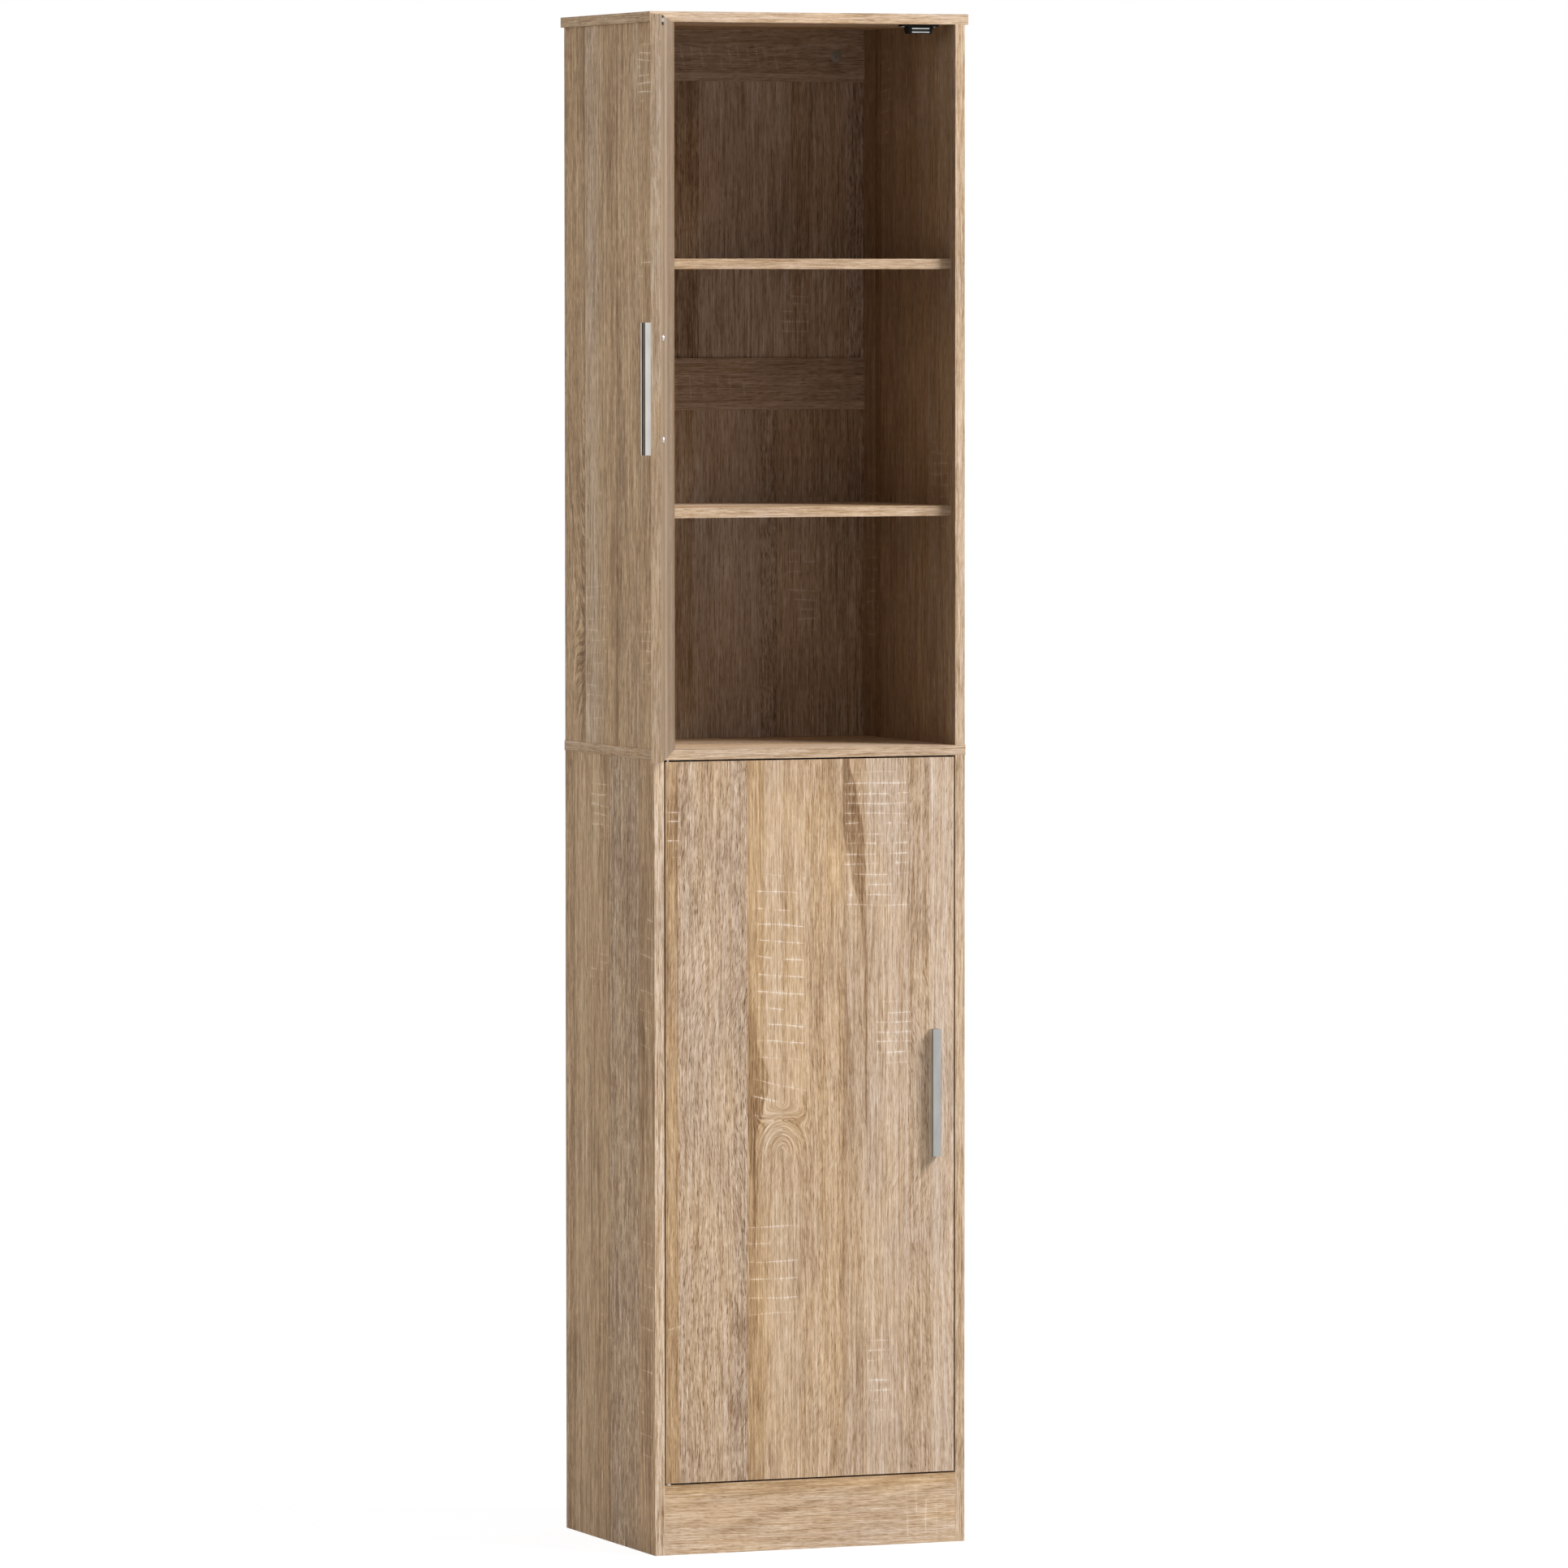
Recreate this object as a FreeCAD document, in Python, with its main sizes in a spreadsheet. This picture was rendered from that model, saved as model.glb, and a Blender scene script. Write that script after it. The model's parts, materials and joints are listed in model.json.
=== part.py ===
# Tall two-door bathroom cabinet: an upper and a lower carcass on one middle board.
#
# Millimetres. +X is the cabinet's right, +Y runs from the front edges to the back edges, +Z is up.
# The origin is on the floor, under the middle of the front edges. Every piece is drawn where it
# sits when its door is shut; a door's pieces are then swung together about that door's pivot line.
import FreeCAD, Part
import math
import os
import Sketcher
from FreeCAD import Placement, Rotation, Vector

doc = FreeCAD.newDocument("tall_cabinet")
sheet = doc.addObject("Spreadsheet::Sheet", "Sizes")

X_AXIS = Vector(1, 0, 0)
Y_AXIS = Vector(0, 1, 0)
Z_AXIS = Vector(0, 0, 1)
STEP = {
    "-X": (-1, 0, 0),
    "+X": (1, 0, 0),
    "-Y": (0, -1, 0),
    "+Y": (0, 1, 0),
    "-Z": (0, 0, -1),
    "+Z": (0, 0, 1),
}
OPPOSITE = {"-X": "+X", "+X": "-X", "-Y": "+Y", "+Y": "-Y", "-Z": "+Z", "+Z": "-Z"}
# A fastener is drawn point down; these turn its point towards each direction.
POINTING = {
    "-Z": Rotation(X_AXIS, 0),
    "+Z": Rotation(X_AXIS, 180),
    "+Y": Rotation(X_AXIS, 90),
    "-Y": Rotation(X_AXIS, -90),
    "-X": Rotation(Y_AXIS, 90),
    "+X": Rotation(Y_AXIS, -90),
}


class Size:
    """A length or angle that keeps its number together with the sheet formula it comes from."""

    def __init__(self, number, formula):
        self.number = number
        self.formula = formula

    def joined(self, other, sign, number):
        return Size(number, "(%s %s %s)" % (self.formula, sign, other.formula))

    def __add__(self, other):
        other = as_size(other)
        return self.joined(other, "+", self.number + other.number)

    def __sub__(self, other):
        other = as_size(other)
        return self.joined(other, "-", self.number - other.number)

    def __mul__(self, other):
        other = as_size(other)
        return self.joined(other, "*", self.number * other.number)

    def __truediv__(self, other):
        other = as_size(other)
        return self.joined(other, "/", self.number / other.number)

    def __radd__(self, other):
        return as_size(other) + self

    def __rsub__(self, other):
        return as_size(other) - self

    def __rmul__(self, other):
        return as_size(other) * self

    def __neg__(self):
        return Size(-self.number, "(-1 * %s)" % self.formula)

    def cosine(self):
        return Size(math.cos(math.radians(self.number)), "cos(%s * 1 deg)" % self.formula)

    def sine(self):
        return Size(math.sin(math.radians(self.number)), "sin(%s * 1 deg)" % self.formula)


def as_size(value):
    return value if isinstance(value, Size) else Size(float(value), repr(float(value)))


rows = 0


def size(alias, number, meaning):
    """Write one driving dimension into the sheet and hand it back as a Size."""
    global rows
    rows += 1
    sheet.set("A%d" % rows, alias)
    sheet.set("B%d" % rows, str(number))
    sheet.set("C%d" % rows, meaning)
    sheet.setAlias("B%d" % rows, alias)
    return Size(float(number), "Sizes." + alias)


# ---------------------------------------------------------------- driving dimensions
height = size("height", 1800, "floor to the upper face of the top board")
top_width = size("top_width", 400, "top board, left to right")
depth = size("depth", 298, "front edges to back edges")
board = size("board", 12, "thickness of every board and door")
side_overhang = size("side_overhang", 4.5, "top board beyond each side")
middle_overhang = size("middle_overhang", 1, "middle board beyond each side")
middle_level = size("middle_level", 930, "floor to the underside of the middle board")
plinth_height = size("plinth_height", 82, "floor to the upper face of the bottom board")
shelf_setback = size("shelf_setback", 16, "front edges to the shelves' front edges")
upper_high_rise = size("upper_high_rise", -0.5, "highest shelf, above an even third of its opening")
upper_low_rise = size("upper_low_rise", -4.5, "second shelf, above an even third of its opening")
lower_high_rise = size("lower_high_rise", 0, "third shelf, above an even third of its opening")
lower_low_rise = size("lower_low_rise", 0, "lowest shelf, above an even third of its opening")
rail_height = size("rail_height", 62, "height of the three back rails")
panel_thickness = size("panel_thickness", 3, "hardboard back panels")
panel_inset = size("panel_inset", 3, "rail's front face to the back panel's front face")
groove_depth = size("groove_depth", 4, "grooves that hold the back panels")
panel_play = size("panel_play", 0.2, "groove wider than the panel")
panel_end_play = size("panel_end_play", 0.5, "panel's edge to the groove's bottom")
shelf_back_play = size("shelf_back_play", 0.3, "shelf's back edge to the back panel")
hole_play = size("hole_play", 0.02, "radial room round dowels, pins and screws in wood")

dowel_radius = size("dowel_radius", 3, "wooden dowel")
dowel_short_end = size("dowel_short_end", 8, "dowel depth in a board's face")
dowel_long_end = size("dowel_long_end", 17, "dowel depth in a board's edge")
cam_radius = size("cam_radius", 6, "cam lock")
cam_floor = size("cam_floor", 2.5, "wood left past a cam's bottom")
cam_backset = size("cam_backset", 24, "board's end to the cam's axis")
cam_play = size("cam_play", 0.1, "room round and above the cam")
bolt_thread_radius = size("bolt_thread_radius", 2.5, "cam bolt's thread")
bolt_thread_length = size("bolt_thread_length", 8, "cam bolt's thread in the side")
bolt_neck_radius = size("bolt_neck_radius", 2, "cam bolt's neck")
bolt_head_radius = size("bolt_head_radius", 3, "cam bolt's head and collar")
bolt_head_length = size("bolt_head_length", 3, "cam bolt's head")
bolt_collar_length = size("bolt_collar_length", 1, "cam bolt's collar against the side")
bolt_bore_radius = size("bolt_bore_radius", 3.4, "bore in the board's end for the bolt")

board_screw_length = size("board_screw_length", 40, "screws down through the top and middle boards")
board_screw_radius = size("board_screw_radius", 1.9, "their shank")
board_screw_head_radius = size("board_screw_head_radius", 4, "their countersunk head")
wall_screw_inset = size("wall_screw_inset", 36.5, "side's inner face to the wall screw")
wall_screw_radius = size("wall_screw_radius", 2.5, "wall screw's shank")
wall_flange_radius = size("wall_flange_radius", 7.2, "wall screw's washer face")
wall_flange_height = size("wall_flange_height", 0.8, "thickness of that washer face")
wall_head_radius = size("wall_head_radius", 5, "raised head on the washer face")
wall_head_height = size("wall_head_height", 1, "height of the raised head")

door_side_gap = size("door_side_gap", 1.8, "door's edge to each side")
upper_door_gap = size("upper_door_gap", 1, "above and below the upper door")
lower_door_gap = size("lower_door_gap", 2, "above and below the lower door")
upper_door_opening = size("upper_door_opening", 113.3, "degrees the upper door stands open")
lower_door_opening = size("lower_door_opening", 0, "degrees the lower door stands open")
pivot_edge_inset = size("pivot_edge_inset", 4, "door's hinge edge to the pivot line")
pivot_face_inset = size("pivot_face_inset", 3.5, "door's outer face to the pivot line")
pin_radius = size("pin_radius", 1.5, "pivot pins")
pin_door_depth = size("pin_door_depth", 8, "pin inside the door's edge")
pin_web = size("pin_web", 1.2, "middle board's mid-plane to each pin's tip")
pin_running_play = size("pin_running_play", 0.05, "radial room of the pin in its socket")
pin_end_room = size("pin_end_room", 0.5, "radial and end room in the wood past the socket")
leaf_length = size("leaf_length", 44, "pivot leaf and socket plate")
leaf_width = size("leaf_width", 8, "pivot leaf and socket plate")
leaf_thickness = size("leaf_thickness", 1.5, "pivot leaf and socket plate")
leaf_edge_inset = size("leaf_edge_inset", 1, "leaf from the door's hinge edge and outer face")
leaf_play = size("leaf_play", 0.1, "recess round a leaf")
leaf_first_screw = size("leaf_first_screw", 13, "leaf's end to its first screw, upper door")
leaf_last_screw = size("leaf_last_screw", 12, "leaf's far end to its second screw, upper door")
leaf_screw_stagger = size("leaf_screw_stagger", 6, "lower door's leaf screws, moved clear of the upper's")
small_screw_radius = size("small_screw_radius", 1.4, "shank of the leaf, striker and catch screws")
small_head_radius = size("small_head_radius", 2.5, "their countersunk head")
small_head_height = size("small_head_height", 1.1, "height of that head")
leaf_screw_length = size("leaf_screw_length", 16, "screws into the door's edges")
short_screw_floor = size("short_screw_floor", 3, "wood left past the short screws of plates and catches")
washer_radius = size("washer_radius", 3, "nylon washer under the door")
washer_play = size("washer_play", 0.05, "washer thinner than the door's gap")

handle_length = size("handle_length", 150, "bar handle")
handle_width = size("handle_width", 10, "bar handle")
handle_projection = size("handle_projection", 12, "handle in front of the door")
handle_lip = size("handle_lip", 0.8, "front lip before the finger groove")
handle_groove_width = size("handle_groove_width", 4, "finger groove down each flank")
handle_groove_depth = size("handle_groove_depth", 1.8, "finger groove down each flank")
handle_edge_inset = size("handle_edge_inset", 26, "door's free edge to the handle's centre line")
handle_screw_spacing = size("handle_screw_spacing", 115, "between the handle's two screws")
handle_screw_radius = size("handle_screw_radius", 2, "handle screw's thread")
handle_screw_bite = size("handle_screw_bite", 8, "screw inside the handle")
handle_screw_head_radius = size("handle_screw_head_radius", 4, "domed head inside the door")
handle_screw_head_height = size("handle_screw_head_height", 2.6, "domed head inside the door")
upper_handle_rise = size("upper_handle_rise", 0, "upper handle's middle above its door's middle")
lower_handle_rise = size("lower_handle_rise", 27, "lower handle's middle above its door's middle")

catch_inset = size("catch_inset", 38.2, "right side's inner face to the catch's middle")
catch_flange = size("catch_flange", 23, "half the catch's width against the board")
catch_flange_height = size("catch_flange_height", 2.2, "thickness of that flange")
catch_shoulder = size("catch_shoulder", 16.2, "half the case's width under the flange")
catch_foot = size("catch_foot", 14, "half the case's width at its underside")
catch_height = size("catch_height", 10.8, "catch below the board")
catch_depth = size("catch_depth", 14, "catch, front to back")
catch_wall = size("catch_wall", 1.1, "catch case under the lower pole plate")
pole_width = size("pole_width", 22, "steel pole plates")
pole_thickness = size("pole_thickness", 1.3, "steel pole plates")
pole_depth = size("pole_depth", 12, "steel pole plates")
pole_nose = size("pole_nose", 0.5, "pole plates in front of the case")
magnet_height = size("magnet_height", 3, "magnet between the pole plates")
magnet_setback = size("magnet_setback", 1, "case's front face to the magnet")
catch_screw_spread = size("catch_screw_spread", 19.6, "catch's middle to each of its screws")
striker_width = size("striker_width", 26, "steel striker plate")
striker_height = size("striker_height", 10, "steel striker plate")
striker_thickness = size("striker_thickness", 1.5, "steel striker plate")
striker_hole_radius = size("striker_hole_radius", 0.8, "two holes beside the striker's screw")
striker_hole_offset = size("striker_hole_offset", 3.8, "striker's middle to each hole")
striker_gap = size("striker_gap", 0.3, "striker to the pole plates, door shut")

front_line = size("front_line", 40, "front edges to the front dowels in the sides' ends")
front_screw_line = size("front_screw_line", 90, "front edges to the front board screws")
front_cam_line = size("front_cam_line", 60, "front edges to the front cams")
back_line_inset = size("back_line_inset", 58, "back edges to the back dowels in the sides' ends")
back_screw_inset = size("back_screw_inset", 98, "back edges to the back board screws")
back_cam_inset = size("back_cam_inset", 63, "back edges to the back cams")
rail_fixing_offset = size("rail_fixing_offset", 15, "rail's centre line to its cam and to its dowel")
plinth_dowel_level = size("plinth_dowel_level", 40, "floor to the dowels in the plinth's ends")
plinth_dowel_inset = size("plinth_dowel_inset", 83.5, "side's inner face to the plinth's back dowels")

# ---------------------------------------------------------------- levels and planes
body_width = top_width - 2 * side_overhang
inner_width = body_width - 2 * board
left_outer = -body_width / 2
left_inner = -inner_width / 2
right_inner = inner_width / 2
middle_top = middle_level + board
top_level = height - board
rail_front = depth - board
rail_centre = rail_front + board / 2
panel_front = rail_front + panel_inset
groove_front = panel_front - panel_play / 2
groove_width = panel_thickness + panel_play
panel_bite = groove_depth - panel_end_play
back_line = depth - back_line_inset
back_screw_line = depth - back_screw_inset
back_cam_line = depth - back_cam_inset
shelf_dowel_line = (front_cam_line + back_cam_line) / 2
upper_rail_bottom = (middle_top + top_level - rail_height) / 2
lower_rail_bottom = (plinth_height + middle_level - rail_height) / 2
top_rail_bottom = top_level - rail_height
upper_third = (top_level - middle_top - 2 * board) / 3
lower_third = (middle_level - plinth_height - 2 * board) / 3

cam_height = board - cam_floor
pin_board_depth = board / 2 - pin_web
short_screw_length = board - short_screw_floor
door_left = left_inner + door_side_gap
door_right = right_inner - door_side_gap
pivot_x = door_left + pivot_edge_inset
pivot_y = pivot_face_inset
leaf_left = door_left + leaf_edge_inset
leaf_centre_y = leaf_edge_inset + leaf_width / 2
handle_x = door_right - handle_edge_inset
catch_centre = right_inner - catch_inset
wall_screw_spread = right_inner - wall_screw_inset
plinth_dowel_spread = right_inner - plinth_dowel_inset

# Patterns of the repeated fasteners, and plates that are one node as a pair, aren't nodes themselves.
loose_pieces = []


# ---------------------------------------------------------------- ways of making pieces
def shift(point, towards, distance):
    """The point moved by a distance along one of the six directions."""
    moved = []
    for coordinate, step in zip(point, STEP[towards]):
        if step == 0:
            moved.append(as_size(coordinate))
        else:
            moved.append(as_size(coordinate) + step * as_size(distance))
    return tuple(moved)


def bind(thing, prop, value):
    thing.setExpression(prop, as_size(value).formula)


def put(thing, point):
    for letter, coordinate in zip("xyz", point):
        bind(thing, "Placement.Base." + letter, coordinate)


def origin_plane(body, role):
    return next(plane for plane in body.Origin.OriginFeatures if plane.Role == role)


def closed_outline(sketch, corners):
    """Draw a closed outline of straight lines and tie every corner to the sheet."""
    points = [Vector(as_size(u).number, as_size(v).number, 0) for u, v in corners]
    count = len(points)
    for index in range(count):
        sketch.addGeometry(Part.LineSegment(points[index], points[(index + 1) % count]), False)
    for index in range(count):
        sketch.addConstraint(Sketcher.Constraint("Coincident", index, 2, (index + 1) % count, 1))
    for index, corner in enumerate(corners):
        for kind, value, axis in (("DistanceX", corner[0], -2), ("DistanceY", corner[1], -1)):
            value = as_size(value)
            if value.formula == "0.0":
                sketch.addConstraint(Sketcher.Constraint("PointOnObject", index, 1, axis))
                continue
            number = sketch.addConstraint(Sketcher.Constraint(kind, -1, 1, index, 1, value.number))
            label = "%s_%d" % (kind, index)
            sketch.renameConstraint(number, label)
            bind(sketch, "Constraints." + label, value)


def new_body(name):
    body = doc.addObject("PartDesign::Body", name)
    body.Label = name
    return body


def new_sketch(body, role, offset=None):
    sketch = body.newObject("Sketcher::SketchObject", body.Name + "_outline")
    sketch.AttachmentSupport = (origin_plane(body, role), [""])
    sketch.MapMode = "FlatFace"
    if offset is not None:
        bind(sketch, "AttachmentOffset.Base.z", offset)
    return sketch


def block(name, x, y, z, width, deep, tall):
    """A rectangular piece: its plan is drawn at its own level and padded upwards."""
    body = new_body(name)
    sketch = new_sketch(body, "XY_Plane", as_size(z))
    closed_outline(sketch, [(x, y), (x + width, y), (x + width, y + deep), (x, y + deep)])
    pad = body.newObject("PartDesign::Pad", name + "_pad")
    pad.Profile = sketch
    bind(pad, "Length", tall)
    return body


def turned(name, profile):
    """A piece turned on a lathe: half its section, (radius, level) pairs, spun about its axis."""
    body = new_body(name)
    loose_pieces.append(body)
    sketch = new_sketch(body, "XZ_Plane")
    closed_outline(sketch, profile)
    turn = body.newObject("PartDesign::Revolution", name + "_turn")
    turn.Profile = sketch
    turn.ReferenceAxis = (sketch, ["V_Axis"])
    turn.Angle = 360
    return body


def cut_name(body):
    return "%s_cut_%d" % (body.Name, len(body.Group))


def slot(body, x, y, z, width, deep, tall):
    """Cut a rectangular recess whose lowest left front corner is (x, y, z)."""
    cut = body.newObject("PartDesign::SubtractiveBox", cut_name(body))
    bind(cut, "Length", width)
    bind(cut, "Width", deep)
    bind(cut, "Height", tall)
    put(cut, (x, y, z))
    return cut


def bore(body, point, towards, radius, length):
    """Drill a round hole from a point on the face into the wood."""
    cut = body.newObject("PartDesign::SubtractiveCylinder", cut_name(body))
    bind(cut, "Radius", radius)
    bind(cut, "Height", length)
    cut.Placement = Placement(Vector(), Rotation(Z_AXIS, Vector(*STEP[towards])))
    put(cut, point)
    return cut


def countersink(body, point, towards, mouth_radius, hole_radius, deep):
    """Cut the cone that a countersunk head sits in."""
    cut = body.newObject("PartDesign::SubtractiveCone", cut_name(body))
    bind(cut, "Radius1", mouth_radius + hole_play)
    bind(cut, "Radius2", hole_radius + hole_play)
    bind(cut, "Height", deep)
    cut.Placement = Placement(Vector(), Rotation(Z_AXIS, Vector(*STEP[towards])))
    put(cut, point)
    return cut


def cross_recess(body, level, reach, width, deep):
    """Cut a cross for the driver into the head whose top is at the level."""
    slot(body, -as_size(reach), -as_size(width) / 2, level - deep, 2 * as_size(reach), width, deep)
    slot(body, -as_size(width) / 2, -as_size(reach), level - deep, width, 2 * as_size(reach), deep)


def group(name, pattern, places):
    """One node of identical loose pieces: a link to the pattern piece at every place."""
    links = []
    for number, (point, towards) in enumerate(places, start=1):
        link = doc.addObject("App::Link", "%s_%d" % (name, number))
        link.LinkedObject = pattern
        link.Placement = Placement(Vector(), POINTING[towards])
        put(link, point)
        links.append(link)
    compound = doc.addObject("Part::Compound", name)
    compound.Label = name
    compound.Links = links
    return compound


def swing(piece, opening):
    """Turn a door's piece about the pivot line by the door's opening angle."""
    piece.Placement = Placement(Vector(), Rotation(Z_AXIS, 0))
    bind(piece, "Placement.Rotation.Angle", -opening)
    bind(piece, "Placement.Base.x", pivot_x - pivot_x * opening.cosine() - pivot_y * opening.sine())
    bind(piece, "Placement.Base.y", pivot_y + pivot_x * opening.sine() - pivot_y * opening.cosine())


# ---------------------------------------------------------------- pattern pieces
def make_dowel(name, short_end, long_end):
    """A dowel with its ends eased, short end down from the joint's plane."""
    ease = dowel_radius / 4
    return turned(name, [
        (0, -short_end),
        (dowel_radius - ease, -short_end),
        (dowel_radius, ease - short_end),
        (dowel_radius, long_end - ease),
        (dowel_radius - ease, long_end),
        (0, long_end),
    ])


def make_cam_bolt():
    """Thread in the side, collar against it, neck and head reaching the cam."""
    head_start = cam_backset - bolt_head_length / 2
    head_end = cam_backset + bolt_head_length / 2
    return turned("cam_bolt", [
        (0, -bolt_thread_length),
        (bolt_thread_radius, -bolt_thread_length),
        (bolt_thread_radius, 0),
        (bolt_head_radius, 0),
        (bolt_head_radius, bolt_collar_length),
        (bolt_neck_radius, bolt_collar_length),
        (bolt_neck_radius, head_start),
        (bolt_head_radius, head_start),
        (bolt_head_radius, head_end),
        (0, head_end),
    ])


def make_cam_lock():
    """A cam drum with a driver's cross and the cross bore that takes the bolt's head."""
    body = turned("cam_lock", [(0, -cam_height), (cam_radius, -cam_height), (cam_radius, 0), (0, 0)])
    cross_recess(body, as_size(0), cam_radius * 0.62, cam_radius / 5, cam_height / 6)
    bore(body, (-cam_radius, 0, -board / 2), "+X", bolt_head_radius + cam_play, 2 * cam_radius)
    return body


def make_countersunk_screw(name, head_radius, head_height, shank_radius, length):
    point = 2 * shank_radius
    body = turned(name, [
        (0, -length),
        (shank_radius, point - length),
        (shank_radius, -head_height),
        (head_radius, 0),
        (0, 0),
    ])
    cross_recess(body, as_size(0), head_radius * 0.55, head_radius / 6, head_height * 0.7)
    return body


def make_domed_screw(name, head_radius, head_height, shank_radius, length):
    """A screw with a low domed head standing on the plane that it clamps."""
    body = turned(name, [
        (0, -length),
        (shank_radius, -length),
        (shank_radius, 0),
        (head_radius, 0),
        (head_radius, head_height * 0.45),
        (head_radius * 0.8, head_height * 0.85),
        (head_radius * 0.5, head_height),
        (0, head_height),
    ])
    cross_recess(body, head_height, head_radius * 0.55, head_radius / 5, head_height * 0.5)
    return body


def make_wall_screw():
    """A washer-faced screw, as long as the rail is thick."""
    top = wall_flange_height + wall_head_height
    body = turned("wall_screw", [
        (0, -board),
        (wall_screw_radius, -board),
        (wall_screw_radius, 0),
        (wall_flange_radius, 0),
        (wall_flange_radius, wall_flange_height * 0.6),
        (wall_head_radius, wall_flange_height),
        (wall_head_radius * 0.75, top),
        (0, top),
    ])
    cross_recess(body, top, wall_head_radius * 0.65, wall_head_radius / 5, wall_head_height)
    return body


board_screw_head_height = board_screw_head_radius - board_screw_radius
dowel_pattern = make_dowel("dowel", dowel_short_end, dowel_long_end)
through_dowel_pattern = make_dowel("through_dowel", dowel_long_end, board + dowel_long_end)
cam_bolt_pattern = make_cam_bolt()
cam_lock_pattern = make_cam_lock()
board_screw_pattern = make_countersunk_screw(
    "board_screw", board_screw_head_radius, board_screw_head_height,
    board_screw_radius, board_screw_length)
leaf_screw_pattern = make_countersunk_screw(
    "leaf_screw", small_head_radius, small_head_height, small_screw_radius, leaf_screw_length)
short_screw_pattern = make_countersunk_screw(
    "short_screw", small_head_radius, small_head_height, small_screw_radius, short_screw_length)
catch_screw_pattern = make_domed_screw(
    "catch_screw", small_head_radius, small_head_height,
    small_screw_radius, catch_flange_height + short_screw_length)
handle_screw_pattern = make_domed_screw(
    "handle_screw", handle_screw_head_radius, handle_screw_head_height, handle_screw_radius,
    board + handle_screw_bite)
wall_screw_pattern = make_wall_screw()


# ---------------------------------------------------------------- carcass boards
top_board = block("top_board", -top_width / 2, 0, top_level, top_width, depth, board)
middle_board = block(
    "middle_board", left_outer - middle_overhang, 0, middle_level,
    body_width + 2 * middle_overhang, depth, board)
bottom_board = block(
    "bottom_board", left_inner, board, plinth_height - board, inner_width, depth - board, board)
plinth = block("plinth", left_inner, 0, 0, inner_width, board, plinth_height)

sides = {}
for side_name, side_x in (("left", left_outer), ("right", right_inner)):
    sides["upper", side_name] = block(
        "upper_%s_side" % side_name, side_x, 0, middle_top, board, depth, top_level - middle_top)
    sides["lower", side_name] = block(
        "lower_%s_side" % side_name, side_x, 0, 0, board, depth, middle_level)

shelf_depth = panel_front - shelf_back_play - shelf_setback
shelf_levels = {
    "upper_shelf_high": middle_top + 2 * upper_third + board + upper_high_rise,
    "upper_shelf_low": middle_top + upper_third + upper_low_rise,
    "lower_shelf_high": plinth_height + 2 * lower_third + board + lower_high_rise,
    "lower_shelf_low": plinth_height + lower_third + lower_low_rise,
}
shelves = {}
for shelf_name, shelf_level in shelf_levels.items():
    shelves[shelf_name] = block(
        shelf_name, left_inner, shelf_setback, shelf_level, inner_width, shelf_depth, board)

rail_levels = {
    "top_back_rail": top_rail_bottom,
    "upper_back_rail": upper_rail_bottom,
    "lower_back_rail": lower_rail_bottom,
}
rails = {}
for rail_name, rail_level in rail_levels.items():
    rails[rail_name] = block(
        rail_name, left_inner, rail_front, rail_level, inner_width, board, rail_height)


# ---------------------------------------------------------------- back panels in their grooves
def back_panel(name, lower_edge, upper_edge):
    """A hardboard panel that reaches into the grooves all round it."""
    return block(
        name, left_inner - panel_bite, panel_front, lower_edge - panel_bite,
        inner_width + 2 * panel_bite, panel_thickness, upper_edge - lower_edge + 2 * panel_bite)


def level_groove(body, x, z, width):
    slot(body, x, groove_front, z, width, groove_width, groove_depth)


back_panel("upper_back_panel_high", upper_rail_bottom + rail_height, top_rail_bottom)
back_panel("upper_back_panel_low", middle_top, upper_rail_bottom)
back_panel("lower_back_panel_high", lower_rail_bottom + rail_height, middle_level)
back_panel("lower_back_panel_low", plinth_height, lower_rail_bottom)

groove_left = left_inner - groove_depth
groove_run = inner_width + 2 * groove_depth
level_groove(middle_board, groove_left, middle_top - groove_depth, groove_run)
level_groove(middle_board, groove_left, middle_level, groove_run)
level_groove(bottom_board, left_inner, plinth_height - groove_depth, inner_width)
level_groove(rails["top_back_rail"], left_inner, top_rail_bottom, inner_width)
for rail_name in ("upper_back_rail", "lower_back_rail"):
    rail_level = rail_levels[rail_name]
    level_groove(rails[rail_name], left_inner, rail_level, inner_width)
    level_groove(rails[rail_name], left_inner, rail_level + rail_height - groove_depth, inner_width)
lower_groove_start = plinth_height - groove_depth
for side_name, groove_x in (("left", groove_left), ("right", right_inner)):
    slot(sides["upper", side_name], groove_x, groove_front, middle_top,
         groove_depth, groove_width, top_level - middle_top)
    slot(sides["lower", side_name], groove_x, groove_front, lower_groove_start,
         groove_depth, groove_width, middle_level - lower_groove_start)

# ---------------------------------------------------------------- joints between the boards
dowel_places = []
cam_places = []
bolt_places = []
board_screw_places = []


def dowel_joint(face_piece, edge_piece, point, towards):
    """A dowel across a joint: short end into the face piece, long end into the edge piece."""
    bore(face_piece, point, towards, dowel_radius + hole_play, dowel_short_end + hole_play)
    bore(edge_piece, point, OPPOSITE[towards], dowel_radius + hole_play, dowel_long_end + hole_play)
    dowel_places.append((point, towards))


def cam_joint(side, member, point, towards, cam_towards):
    """A bolt in the side, and a cam in the member's hidden face that draws the bolt in."""
    bore(side, point, towards, bolt_thread_radius + hole_play, bolt_thread_length + hole_play)
    bore(member, point, OPPOSITE[towards], bolt_bore_radius, cam_backset + bolt_head_length / 2 + cam_play)
    bolt_places.append((point, towards))
    cam_axis = shift(point, OPPOSITE[towards], cam_backset)
    cam_mouth = shift(cam_axis, OPPOSITE[cam_towards], board / 2)
    bore(member, cam_mouth, cam_towards, cam_radius + cam_play, cam_height + cam_play)
    cam_places.append((cam_mouth, cam_towards))


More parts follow.
